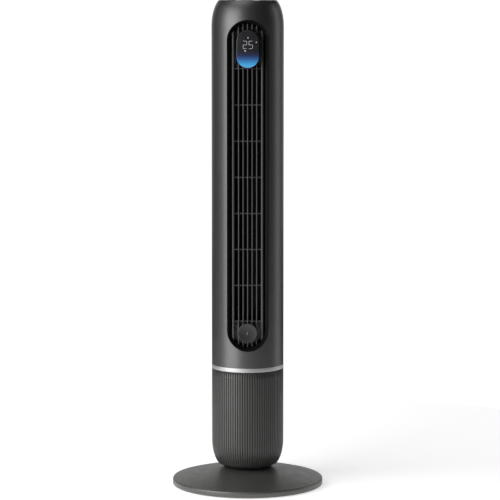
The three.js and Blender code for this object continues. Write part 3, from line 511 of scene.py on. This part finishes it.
def merged(*meshes):
    """Several meshes, each its points and faces, as one."""
    verts, faces = [], []
    for more_verts, more_faces in meshes:
        start = len(verts)
        verts.extend(more_verts)
        faces.extend(tuple(start + i for i in face) for face in more_faces)
    return verts, faces


# ---- the column's skin ----------------------------------------------------------------------------------
def skin_radius(z, inset=0.0):
    """The column's radius at a height, or that of a surface inside it. Both ends are quarter ellipses."""
    across, along, past = LOW_CURVE_ACROSS, LOW_CURVE_ALONG, LOW_CURVE_START - z
    if z > HIGH_CURVE_START:
        across, along, past = HIGH_CURVE_ACROSS, HIGH_CURVE_ALONG, z - HIGH_CURVE_START
    share = min(1, max(0, past) / (along - inset))
    return BODY_R - across + (across - inset) * math.sqrt(1 - share * share)


# ---- cutting --------------------------------------------------------------------------------------------
def rounded_rectangle(half, bottom, top, corner, steps=10):
    """Points [x, z] round a rectangle about x = 0."""
    centres = [(half - corner, top - corner), (corner - half, top - corner)]
    centres += [(corner - half, bottom + corner), (half - corner, bottom + corner)]
    points = []
    for i, (x, z) in enumerate(centres):
        for k in range(steps + 1):
            turn = math.pi / 2 * (i + k / steps)
            points.append((x + corner * math.cos(turn), z + corner * math.sin(turn)))
    return points


def circle(x, z, radius, steps=32):
    """Points [x, z] round a circle."""
    turns = [2 * math.pi * k / steps for k in range(steps)]
    return [(x + radius * math.cos(turn), z + radius * math.sin(turn)) for turn in turns]


def cut(obj, meshes):
    """Cuts closed meshes out of a piece, and keeps the cut edges sharp."""
    for points, faces in meshes:
        cutter = bpy.data.objects.new("cutter", clean_mesh("cutter", points, faces))
        bpy.context.scene.collection.objects.link(cutter)
        modifier = obj.modifiers.new("hole", "BOOLEAN")
        modifier.object = cutter
        modifier.operation = "DIFFERENCE"
        modifier.solver = "EXACT"
        apply_modifiers(obj)
        bpy.data.objects.remove(cutter)
    obj.data.set_sharp_from_angle(angle=math.radians(35))


# ---- the foot -------------------------------------------------------------------------------------------
def make_foot():
    """A domed dish with a rounded edge, hollow below and bored for the post."""
    radius, top = FOOT_HIGH[0], FOOT_HIGH[2]
    skirt = FOOT_LOW[2]
    wall = 3 * MM
    edge_top = 15.2 * MM
    hub = COLLAR_HIGH[0] - 1 * MM
    bore = 16.3 * MM
    dome_start = (radius - 4 * MM, edge_top)
    dome_pull = (112 * MM, 28.5 * MM)
    dome = bezier(dome_start, dome_pull, (hub + 3 * MM, top - 0.4 * MM), steps=28)
    edge = bezier((radius, edge_top - 4.5 * MM), (radius, edge_top - 0.2 * MM), dome_start, steps=8)[:-1]
    outer = [(radius - 0.5 * MM, skirt), (radius, skirt + 0.6 * MM), *edge, *dome, (hub, top)]
    inner = [
        (bore, top),
        (bore, top - wall),
        (hub, top - wall),
        (radius - 2 * wall, edge_top - wall),
        (radius - wall, edge_top - 2 * wall),
        (radius - wall, skirt),
    ]
    lathe("foot_dish", outer + inner, FOOT, "base", ["base_plate"], segments=256)


def make_collar():
    """A black ring between the foot and the barrel."""
    inner, outer = 24.3 * MM, COLLAR_HIGH[0]
    low, high = COLLAR_LOW[2], COLLAR_HIGH[2]
    profile = [(inner, low), (outer, low), (outer, high), (inner, high)]
    lathe("neck_ring", rounded(profile, 0.6 * MM), BLACK, "base", ["neck_collar"])


# ---- the fluted barrel and the silver ring --------------------------------------------------------------
def make_barrel():
    """A wall whose outside has rounded ridges that fade out under its curved bottom, with painted shade on
    the faces in each groove.
    """
    columns = FLUTE_COUNT * FLUTE_COLUMNS
    bottom, top = BARREL_LOW[2], BARREL_HIGH[2]
    curve_rows, straight_rows = 26, 10
    fade_start, fade_length = bottom + 1 * MM, 9 * MM
    lowest = math.asin(min(1, (LOW_CURVE_START - bottom) / LOW_CURVE_ALONG))
    rows = []
    for i in range(curve_rows + 1):
        rows.append(LOW_CURVE_START - LOW_CURVE_ALONG * math.sin(lowest * (1 - i / curve_rows)))
    for k in range(1, straight_rows + 1):
        rows.append(LOW_CURVE_START + (top - LOW_CURVE_START) * k / straight_rows)
    turns = [2 * math.pi * j / columns for j in range(columns)]
    points = []
    for z in rows:
        fade = min(1, max(0, (z - fade_start) / fade_length))
        radius = skin_radius(z)
        depth = FLUTE_DEPTH * fade * radius / BODY_R
        for turn in turns:
            ridge = 1 - (1 - abs(math.sin(FLUTE_COUNT * turn / 2))) ** 3
            points.append(around(radius - depth * (1 - ridge), turn, z))
    for z in reversed(rows):
        points += [around(skin_radius(z, WALL), turn, z) for turn in turns]
    faces = grid_faces(2 * len(rows), columns, close_rows=True)
    barrel = piece("fluted_barrel", points, faces, FLUTED, "tower", ["lower_barrel"])
    # Painted shade: the faces next to each groove's bottom take the darker material.
    barrel.data.materials.append(GROOVE_PAINTED_SHADE)
    painted_shade_share = 2 / FLUTE_COLUMNS
    for face in barrel.data.polygons:
        turn = math.atan2(face.center.x, -face.center.y) % (2 * math.pi)
        share = turn * FLUTE_COUNT / (2 * math.pi) % 1
        if min(share, 1 - share) < painted_shade_share and face.normal.dot(face.center) > 0:
            face.material_index = 1


def make_trim_ring():
    """The visible band with softened edges, and the hidden lip that centres the barrel and the shells."""
    outer = RING_HIGH[0]
    lip = BODY_R - WALL - 0.6 * MM
    lip_inner = lip - 2 * MM
    low, high = BARREL_HIGH[2] + GAP, SHELL_LOW[2] - GAP
    reach = 6 * MM
    profile = [
        (lip_inner, low - reach),
        (lip, low - reach),
        (lip, low),
        (outer, low),
        (outer, high),
        (lip, high),
        (lip, high + reach),
        (lip_inner, high + reach),
    ]
    band = rounded(profile, 0.45 * MM)
    lathe("silver_band", band, SILVER, "tower", ["trim_ring"], segments=256)


# ---- the shells -----------------------------------------------------------------------------------------
def shell_profile():
    """The wall's section as [radius, z]: up the skin, over the edge, down the panel's seat, and back."""
    straight_rows, curve_rows = 24, 20
    edge_z = HEIGHT - 1.4 * MM
    edge = skin_radius(edge_z)
    seat = PANEL_HIGH[0] + GAP
    ledge_top = PANEL_LOW[2] - GAP
    ledge_bottom = ledge_top - WALL
    ledge_width = 4 * MM
    rise = HIGH_CURVE_START - SHELL_LOW[2]
    straight = [SHELL_LOW[2] + rise * k / straight_rows for k in range(straight_rows + 1)]
    highest = math.asin((edge_z - HIGH_CURVE_START) / HIGH_CURVE_ALONG)
    turns = [highest * k / curve_rows for k in range(1, curve_rows + 1)]
    curve = [HIGH_CURVE_START + HIGH_CURVE_ALONG * math.sin(turn) for turn in turns]
    outside = [(skin_radius(z), z) for z in straight + curve]
    over = bezier((edge, edge_z), (edge - 1 * MM, HEIGHT), (edge - 2 * MM, HEIGHT), steps=5)[1:]
    ledge = [
        (seat + 0.3 * MM, HEIGHT),
        (seat, HEIGHT - 0.3 * MM),
        (seat, ledge_top),
        (seat - ledge_width, ledge_top),
        (seat - ledge_width, ledge_bottom),
    ]
    inside = [(skin_radius(z, WALL), z) for z in [*straight, *curve] if z < ledge_bottom - 0.5 * MM]
    inside.append((skin_radius(ledge_bottom, WALL), ledge_bottom))
    return outside + over + ledge + inside[::-1]


def half_shell(name, middle, node, columns=120):
    """Half the column's wall, closed at the seams. Turns are measured from the front towards +X."""
    profile = shell_profile()
    seam = math.asin(GAP / 2 / BODY_R)
    turns = [middle + (math.pi / 2 - seam) * (2 * j / columns - 1) for j in range(columns + 1)]
    points = [around(radius, turn, z) for radius, z in profile for turn in turns]
    count = len(turns)
    faces = grid_faces(len(profile), count, close_rows=True, close_columns=False)
    faces += [tuple(i * count + seam_end for i in range(len(profile))) for seam_end in (0, columns)]
    return piece(name, points, faces, PAINT, "tower", [node])


def make_front_shell():
    """Cut for the outlet."""
    shell = half_shell("front_housing", 0, "front_shell")
    cut(shell, [prism(inset_outlet(0), -BODY_R - CUT_PAST_SKIN, -CUT_END)])


def make_rear_shell():
    """Cut for the intake, the finger grip and the four screws."""
    shell = half_shell("rear_housing", math.pi, "rear_shell")
    outlines = []
    for low, high, corner in ((INTAKE_LOW, INTAKE_HIGH, 12 * MM), (GRIP_LOW, GRIP_HIGH, 8.3 * MM)):
        outlines.append(rounded_rectangle(high[0] + GAP, low[2] - GAP, high[2] + GAP, corner))
    outlines += [circle(x, z, SCREW_WELL) for x, z in SCREW_PLACES]
    cut(shell, [prism(outline, CUT_END, BODY_R + CUT_PAST_SKIN) for outline in outlines])
    for i, (x, z) in enumerate(SCREW_PLACES):
        make_screw_well(f"screw_well_{i + 1}", x, z)


def make_screw_well(name, x, z):
    """A tube round a shell screw, from the screw's seat out to the wall."""
    seat = 26 * MM
    tube = 6 * MM
    meeting = BODY_R - WALL / 2
    steps = 32
    points = []
    for radius, at_wall in ((SCREW_WELL, False), (tube, False), (tube, True), (SCREW_WELL, True)):
        for a, b in circle(x, z, radius, steps):
            points.append(Vector((a, math.sqrt(meeting ** 2 - a * a) if at_wall else seat, b)))
    piece(name, points, grid_faces(4, steps, close_rows=True), INNER, "tower")


# ---- the outlet -----------------------------------------------------------------------------------------
def make_bezel():
    """A bevel that slopes from the skin back and inwards, with a soft front edge and a lip behind."""
    def on_skin(x, z):
        return 0.1 * MM - math.sqrt(skin_radius(z) ** 2 - x * x)

    back = RAIL_HIGH[1]
    lip_front = back - 2 * MM
    lip_inset = OUTLET_HALF - RAIL_HIGH[0] - GAP
    section = [
        (GAP, lambda x, z: on_skin(x, z) + 0.5 * MM),
        (GAP + 0.15 * MM, lambda x, z: on_skin(x, z) + 0.15 * MM),
        (GAP + 0.6 * MM, on_skin),
        (GAP + 1.2 * MM, lambda x, z: on_skin(x, z) + 0.35 * MM),
        (BEZEL_INSET - 0.8 * MM, lambda x, z: BEZEL_FRONT - 0.6 * MM),
        (BEZEL_INSET - 0.2 * MM, lambda x, z: BEZEL_FRONT - 0.1 * MM),
        (BEZEL_INSET, lambda x, z: BEZEL_FRONT + 0.7 * MM),
        (BEZEL_INSET, lambda x, z: lip_front),
        (lip_inset, lambda x, z: lip_front),
        (lip_inset, lambda x, z: back),
        (GAP, lambda x, z: back),
    ]
    points = []
    columns = len(inset_outlet(0))
    for inset, depth in section:
        points += [Vector((x, depth(x, z), z)) for x, z in inset_outlet(inset)]
    faces = grid_faces(len(section), columns, close_rows=True)
    piece("outlet_surround", points, faces, BLACK, "tower", ["outlet_bezel"])


def upright_bar(x, half_width, front, nose, ends):
    """A bar with a rounded nose. The function ends gives its lowest and highest height at each x."""
    steps = 8
    outline = []
    for side in (1, -1):
        for k in range(steps + 1):
            turn = math.pi / 2 * (k if side > 0 else steps - k) / steps
            across = side * (half_width - nose + nose * math.cos(turn))
            outline.append((x + across, front + nose - nose * math.sin(turn)))
    outline += [(x - half_width, BAR_BACK), (x + half_width, BAR_BACK)]
    points = [Vector((a, y, ends(a)[i])) for i in (0, 1) for a, y in outline]
    return capped(points, len(outline))


def chord(x, inset):
    """The lowest and highest heights inside the outlet at x, at an inset from its outline."""
    half = OUTLET_HALF - inset
    rise = math.sqrt(max(0, half * half - x * x))
    return OUTLET_BOTTOM + inset + half - rise, OUTLET_TOP - inset - half + rise


def slat_meshes():
    """Five slats. Each is broken by the display and by the capsule's cup."""
    cup_half = CUP_HIGH[0] + GAP
    cup_centre = (CUP_LOW[2] + CUP_HIGH[2]) / 2
    pod_half = POD_HIGH[0] + GAP
    least_bend = 2.5 * MM

    def bend(half, x):
        return max(least_bend, math.sqrt(max(0, half * half - x * x)))

    def below_cup(x):
        return chord(x, SLAT_INSET)[0], cup_centre - bend(cup_half, x)

    def between(x):
        return cup_centre + bend(cup_half, x), POD_LOW[2] - GAP + pod_half - bend(pod_half, x)

    def above_pod(x):
        return POD_HIGH[2] + GAP - pod_half + bend(pod_half, x), chord(x, SLAT_INSET)[1]

    meshes = []
    for i in range(-2, 3):
        for span in (below_cup, between, above_pod):
            meshes.append(upright_bar(i * SLAT_PITCH, SLAT_HALF, SLAT_FRONT, SLAT_NOSE, span))
    return meshes


def rail_meshes():
    """The two bars at the outlet's sides."""
    def from_end_to_end(x):
        return chord(x, SLAT_INSET)

    middle = RAIL_HIGH[0] - RAIL_HALF
    return [upright_bar(x, RAIL_HALF, RAIL_LOW[1], RAIL_NOSE, from_end_to_end) for x in (-middle, middle)]


def level_rib(z):
    """A bar across the outlet with a rounded nose, from one rail to the other."""
    steps = 8
    reach = RAIL_HIGH[0] - RAIL_HALF
    section = []
    for k in range(steps + 1):
        turn = math.pi * (k / steps - 0.5)
        section.append((RIB_FRONT + RIB_HALF * (1 - math.cos(turn)), z + RIB_HALF * math.sin(turn)))
    section += [(RIB_BACK, z + RIB_HALF), (RIB_BACK, z - RIB_HALF)]
    points = [Vector((x, y, height)) for x in (-reach, reach) for y, height in section]
    return capped(points, len(section))


def make_grille():
    """Rails and slats that run up to the bevel, with level ribs a little behind their fronts."""
    meshes = rail_meshes() + slat_meshes()
    for i in range(RIB_COUNT):
        meshes.append(level_rib(RIB_LOWEST + (RIB_HIGHEST - RIB_LOWEST) * i / (RIB_COUNT - 1)))
    points, faces = merged(*meshes)
    obj = piece("outlet_slats", points, faces, GRILLE, "tower", ["outlet_grille"])
    bevel(obj, 0.25 * MM, segments=2, angle=50)
    make_end_panels()


def make_end_panels():
    """The solid panels behind the slats, above and below the open stretch, in a bluish grey lightened as
    painted light where the slats and the cap shade them.
    """
    margin = 0.1 * MM
    half = RAIL_HIGH[0] - margin
    steps = 32
    turns = [math.pi * k / steps for k in range(steps + 1)]
    arch = [(half * math.cos(turn), half * math.sin(turn)) for turn in turns]
    low_centre, high_centre = OUTLET_BOTTOM + OUTLET_HALF, OUTLET_TOP - OUTLET_HALF
    panels = [("lower_panel", low_centre, -1, RIB_LOWEST), ("upper_panel", high_centre, 1, RIB_HIGHEST)]
    for name, centre, way, straight_end in panels:
        outline = [(x, centre + way * rise) for x, rise in arch]
        outline += [(-half, straight_end), (half, straight_end)]
        points, faces = prism(outline, END_PANEL_FRONT, RAIL_HIGH[1] - margin)
        piece(name, points, faces, END_PANEL_PAINTED_LIGHT, "tower")


# ---- the display ----------------------------------------------------------------------------------------
def loft_stadium(name, box, section, material, replaces=()):
    """A pod: a section of [inset, y] carried round a stadium, closed in front and behind."""
    half, bottom, top = box[1][0], box[0][2], box[1][2]
    points = []
    for inset, y in section:
        outline = stadium(half - inset, bottom + inset, top - inset, arc_steps=32, straight_steps=8)
        points += [Vector((x, y, z)) for x, z in outline]
    count = len(outline)
    faces = grid_faces(len(section), count) + end_caps(0, len(section) - 1, count)
    return piece(name, points, faces, material, "tower", replaces)


def make_display():
    """A black pod with a thin raised rim, and a window that fills it."""
    front, back = POD_LOW[1], POD_HIGH[1]
    window_front = LENS_LOW[1]
    seat = LENS_HIGH[1] + GAP
    rim = 0.9 * MM
    pod_section = [
        (rim, seat),
        (rim, front + 0.25 * MM),
        (rim * 0.6, front),
        (rim * 0.3, front + 0.1 * MM),
        (0, front + 0.7 * MM),
        (0, back - 0.5 * MM),
        (0.5 * MM, back),
    ]
    pod_box = (POD_LOW, POD_HIGH)
    loft_stadium("display_pod", pod_box, pod_section, BLACK, ["display_housing"])
    lens_section = [
        (0, LENS_HIGH[1]),
        (0, window_front + 0.8 * MM),
        (0.25 * MM, window_front + 0.25 * MM),
        (0.9 * MM, window_front),
    ]
    lens_box = (LENS_LOW, LENS_HIGH)
    loft_stadium("display_window", lens_box, lens_section, WINDOW, ["display_lens"])
    make_display_marks()


# The lit bars of each digit.
SEGMENTS = {
    "2": ["top", "upper_right", "middle", "lower_left", "bottom"],
    "5": ["top", "upper_left", "middle", "lower_right", "bottom"],
}


def segment_mesh(ends, thickness, y0, y1):
    """A bar with blunt points, a little shorter than the line between its ends, in the display's plane."""
    (x0, z0), (x1, z1) = ends
    along = Vector((x1 - x0, z1 - z0)).normalized()
    across = Vector((-along.y, along.x)) * thickness / 2
    tip = along * thickness / 2
    shortened, pointed = 1.4, 0.6
    start, end = Vector((x0, z0)) + tip * shortened, Vector((x1, z1)) - tip * shortened
    outline = [
        start - tip * pointed,
        start + across,
        end + across,
        end + tip * pointed,
        end - across,
        start - across,
    ]
    return prism(outline, y0, y1)


def lamp_mesh(x, z, radius_x, radius_z, y0, y1, steps=20):
    """A flat oval."""
    turns = [2 * math.pi * k / steps for k in range(steps)]
    return prism([(x + radius_x * math.cos(turn), z + radius_z * math.sin(turn)) for turn in turns], y0, y1)


def make_display_marks():
    """A generic temperature of two lit digits, with three small lamps round it."""
    surface = LENS_LOW[1]
    y0, y1 = surface - 0.01 * MM, surface + 0.3 * MM
    width, height, thick = 7.6 * MM, 15.7 * MM, 0.64 * MM
    centre_z = POD_HIGH[2] - 32 * MM
    low, high = centre_z - height / 2, centre_z + height / 2
    meshes = []
    for digit, left in (("2", -9.6 * MM), ("5", 2.6 * MM)):
        right = left + width
        bars = {
            "top": ((left, high), (right, high)),
            "middle": ((left, centre_z), (right, centre_z)),
            "bottom": ((left, low), (right, low)),
            "upper_left": ((left, centre_z), (left, high)),
            "upper_right": ((right, centre_z), (right, high)),
            "lower_left": ((left, low), (left, centre_z)),
            "lower_right": ((right, low), (right, centre_z)),
        }
        meshes += [segment_mesh(bars[bar], thick, y0, y1) for bar in SEGMENTS[digit]]
    lamps = {
        "above": lamp_mesh(0.7 * MM, centre_z + 14.9 * MM, 1.2 * MM, 1.2 * MM, y0, y1),
        "beside": lamp_mesh(18.3 * MM, centre_z + 5.4 * MM, 1.1 * MM, 1.1 * MM, y0, y1),
        "below": lamp_mesh(-5.2 * MM, centre_z - 12.8 * MM, 1.8 * MM, 1.1 * MM, y0, y1),
    }
    meshes += lamps.values()
    points, faces = merged(*meshes)
    piece("display_marks", points, faces, LIGHT, "tower")


# ---- the aroma capsule ----------------------------------------------------------------------------------
def make_capsule():
    """A satin cap with a turned rim, a shallow dish and a generic raised pull mark."""
    radius = CAP_HIGH[0]
    centre = (0, 0, (CAP_LOW[2] + CAP_HIGH[2]) / 2)
    front, back = CAP_LOW[1], CAP_HIGH[1]
    dish = front + 0.5 * MM
    flange_back = -67 * MM
    sleeve = 15.5 * MM
    sleeve_inner = sleeve - 1.8 * MM
    profile = [
        (0, dish),
        (radius - 3.6 * MM, dish),
        (radius - 2.4 * MM, front + 0.1 * MM),
        (radius - 1.1 * MM, front),
        (radius - 0.3 * MM, front + 0.2 * MM),
        (radius, front + 0.8 * MM),
        (radius, flange_back),
        (sleeve, flange_back),
        (sleeve, back),
        (sleeve_inner, back),
        (sleeve_inner, flange_back),
        (0, flange_back),
    ]
    lathe("capsule_cap", profile, CAP_PAINT, "aroma_capsule", ["aroma_cap"], 96, "Y", centre)
    notch_width, notch_height = 2 * MM, 0.25 * MM
    notch_ends = (-2.3 * MM, centre[2] - 4.6 * MM), (1.7 * MM, centre[2] + 4.6 * MM)
    points, faces = segment_mesh(notch_ends, notch_width, dish - notch_height, dish)
    piece("capsule_notch", points, faces, NOTCH, "aroma_capsule")


# ---- the rear intake grille -----------------------------------------------------------------------------
def make_intake():
    """A curved grille: a frame, upright bars and level bars that bow round the column."""
    outer, inner = BODY_R - 0.4 * MM, BODY_R - 4 * MM
    low, high = INTAKE_LOW[2], INTAKE_HIGH[2]
    half_angle = math.asin(INTAKE_HIGH[0] / BODY_R) - math.radians(0.6)

    def bent_bar(turn0, turn1, z0, z1, steps, inset=0.0):
        section = [(outer - inset, z0), (outer - inset, z1), (inner, z1), (inner, z0)]
        points = []
        for k in range(steps + 1):
            turn = math.pi + turn0 + (turn1 - turn0) * k / steps
            points += [around(radius, turn, z) for radius, z in section]
        count = len(section)
        return points, grid_faces(steps + 1, count) + end_caps(0, steps, count)

    frame_width = 10 * MM
    slot_width = 9 * MM
    slot_step = math.radians(10)
    slots, rows = 9, 4
    level_steps, side_steps, bar_steps = 48, 4, 3
    bar_half = (slot_step - slot_width / outer) / 2
    side = half_angle - (slots / 2 * slot_step - bar_half)
    row_pitch = (high - low - frame_width) / rows
    meshes = []
    for i in range(rows + 1):
        z = low + i * row_pitch
        meshes.append(bent_bar(-half_angle, half_angle, z, z + frame_width, level_steps))
    for sign in (-1, 1):
        turn0, turn1 = sorted((sign * half_angle, sign * (half_angle - side)))
        meshes.append(bent_bar(turn0, turn1, low, high, side_steps))
    for i in range(slots - 1):
        turn = (i - (slots - 2) / 2) * slot_step
        meshes.append(bent_bar(turn - bar_half, turn + bar_half, low, high, bar_steps, inset=0.5 * MM))
    points, faces = merged(*meshes)
    obj = piece("intake_bars", points, faces, GRILLE, "tower", ["rear_grille"])
    bevel(obj, 0.3 * MM, segments=2, angle=50)


# ---- the top panel --------------------------------------------------------------------------------------
def button_place(name):
    """A button's centre on the panel, and its cap's radius."""
    low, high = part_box(name + "_button")
    x, y = box_middle(name + "_button")[:2]
    return (x, y, 0), (high[0] - low[0]) / 2 - BUTTON_FLANGE


def make_panel():
    """A gloss disc with a rounded rim, cut round each button."""
    bottom, top, edge = PANEL_LOW[2], PANEL_HIGH[2], PANEL_HIGH[0]
    profile = rounded([(0, bottom), (edge, bottom), (edge, top), (0, top)], 0.5 * MM)
    obj = lathe("panel_disc", profile, GLOSS, "tower", ["control_panel"], segments=160)
    cutters = []
    past = 1 * MM
    steps = 64
    for name in BUTTON_NAMES:
        centre, radius = button_place(name)
        hole = radius + 0.4 * MM
        section = [(0, bottom - past), (hole, bottom - past), (hole, top + past), (0, top + past)]
        cutters.append((lathe_points(section, steps, "Z", centre), grid_faces(len(section), steps)))
    cut(obj, cutters)
    bevel(obj, 0.25 * MM, segments=2, angle=50)


def make_buttons():
    """Dished caps on stems, each with a generic sign in pale ink."""
    stem = 2 * MM
    flange_high = PANEL_LOW[2] - 1.3 * MM
    flange_low = flange_high - 1.4 * MM
    for name in BUTTON_NAMES:
        centre, radius = button_place(name)
        bottom, top = [corner[2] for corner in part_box(name + "_button")]
        profile = [
            (0, bottom),
            (stem, bottom),
            (stem, flange_low),
            (radius + BUTTON_FLANGE, flange_low),
            (radius + BUTTON_FLANGE, flange_high),
            (radius, flange_high),
            (radius, top - 0.7 * MM),
            (radius - 0.2 * MM, top - 0.2 * MM),
            (radius - 0.7 * MM, top),
            (radius - 1.5 * MM, top - 0.1 * MM),
            (radius * 0.5, top - 0.3 * MM),
            (0, top - 0.35 * MM),
        ]
        body = name + "_button_body"
        lathe(name + "_key", profile, GLOSS, body, [name + "_button"], 72, centre=centre)
        make_sign(name, centre, radius, top - 0.33 * MM, body)


def make_sign(name, centre, radius, surface, body):
    """A flat ring round the button's own mark."""
    marks = {
        "power": [((0, 0.15), (0, 0.62))],
        "speed": [((-0.3, 0), (0.3, 0)), ((0, -0.3), (0, 0.3))],
        "timer": [((0, 0), (0, 0.35)), ((0, 0), (0.28, 0))],
        "mode": [((-0.3, 0.15), (0.3, 0.15)), ((-0.3, -0.15), (0.3, -0.15))],
        "swing": [((-0.35, 0), (0.35, 0))],
    }
    z0, z1 = surface - 0.1 * MM, surface + 0.12 * MM
    ring_width, stroke = 0.7 * MM, 0.8 * MM
    meshes = [ring_band(centre, radius * 0.5, ring_width, z0, z1)]
    for ends in marks[name]:
        flat = [(centre[0] + a * radius, centre[1] + b * radius) for a, b in ends]
        points, faces = segment_mesh(flat, stroke, z0, z1)
        meshes.append(([Vector((p.x, p.z, p.y)) for p in points], faces))
    points, faces = merged(*meshes)
    piece(name + "_sign", points, faces, INK, body)


def ring_band(centre, radius, width, z0, z1, steps=48):
    """A flat ring, as points and faces."""
    section = [(radius, z0), (radius + width, z0), (radius + width, z1), (radius, z1)]
    return lathe_points(section, steps, "Z", centre), grid_faces(4, steps, close_rows=True)


# ---- the carried-over CAD nodes -------------------------------------------------------------------------
def finish_cad_nodes():
    """Every CAD node gets its slot's finish and softened edges."""
    slots = {s["node"]: s["material_slot"] for s in frame["record"]["subparts"]}
    for name, obj in frame["nodes"].items():
        obj.data.materials.clear()
        obj.data.materials.append(SLOT_FINISH[slots[name]])
        bevel(obj, 0.3 * MM, segments=2, angle=35)


# ---- floor, light and camera ----------------------------------------------------------------------------
def make_floor():
    """A round white floor that runs out into the white behind it."""
    mesh = bpy.data.meshes.new("floor")
    bm = bmesh.new()
    bmesh.ops.create_circle(bm, cap_ends=True, segments=96, radius=FLOOR_RADIUS)
    bm.to_mesh(mesh)
    bm.free()
    floor = bpy.data.objects.new("floor", mesh)
    bpy.context.scene.collection.objects.link(floor)
    finish = Finish("pale_floor", (0.9, 0.9, 0.9), roughness=0.8)
    finish.tint(finish.noise(3, detail=2), amount=0.004)
    finish.shader.inputs["Emission Color"].default_value = (1, 1, 1, 1)
    finish.shader.inputs["Emission Strength"].default_value = 0.6
    mesh.materials.append(finish.material)


def make_light(name, place, size, watts):
    """A white rectangle of light that faces the fan's middle."""
    light = bpy.data.lights.new(name, "AREA")
    light.shape = "RECTANGLE"
    light.size, light.size_y = size
    light.energy = watts
    obj = bpy.data.objects.new(name, light)
    obj.location = place
    obj.rotation_euler = (Vector(LIGHT_TARGET) - Vector(place)).to_track_quat("-Z", "Y").to_euler()
    obj.visible_camera = False
    bpy.context.scene.collection.objects.link(obj)


def make_studio():
    """White behind the fan, a dim fill all round, and four soft lights."""
    world = bpy.data.worlds.new("studio")
    bpy.context.scene.world = world
    world.use_nodes = True
    nodes, links = world.node_tree.nodes, world.node_tree.links
    fill = nodes["Background"]
    seen = nodes.new("ShaderNodeBackground")
    for background, strength in ((fill, 0.03), (seen, 1.05)):
        background.inputs["Color"].default_value = (1, 1, 1, 1)
        background.inputs["Strength"].default_value = strength
    either = nodes.new("ShaderNodeMixShader")
    links.new(nodes.new("ShaderNodeLightPath").outputs["Is Camera Ray"], either.inputs["Fac"])
    links.new(fill.outputs["Background"], either.inputs[1])
    links.new(seen.outputs["Background"], either.inputs[2])
    links.new(either.outputs["Shader"], nodes["World Output"].inputs["Surface"])
    make_light("key", place=(-1.67, -1.27, 0.95), size=(1.9, 2.4), watts=62)
    make_light("edge", place=(1.87, 0.68, 0.7), size=(0.7, 2.6), watts=8.5)
    make_light("back", place=(0, 2.5, 1.0), size=(3.4, 1.6), watts=14)
    make_light("top", place=(-0.4, -0.3, 2.3), size=(1, 1), watts=6.5)


def make_camera():
    """The eye stands 5.3 m in front and a little above the fan, and looks slightly down."""
    camera = bpy.data.cameras.new("camera")
    camera.sensor_width = 36
    camera.lens = LENS
    camera.shift_x = 0.0046
    camera.shift_y = -0.048
    obj = bpy.data.objects.new("camera", camera)
    obj.location = EYE
    obj.rotation_euler = (EYE_PITCH, 0, 0)
    bpy.context.scene.collection.objects.link(obj)
    bpy.context.scene.camera = obj
    bpy.context.scene.view_settings.view_transform = "Standard"


make_camera()
make_floor()
make_studio()
finish_cad_nodes()
make_foot()
make_collar()
make_barrel()
make_trim_ring()
make_front_shell()
make_rear_shell()
make_bezel()
make_grille()
make_display()
make_capsule()
make_intake()
make_panel()
make_buttons()
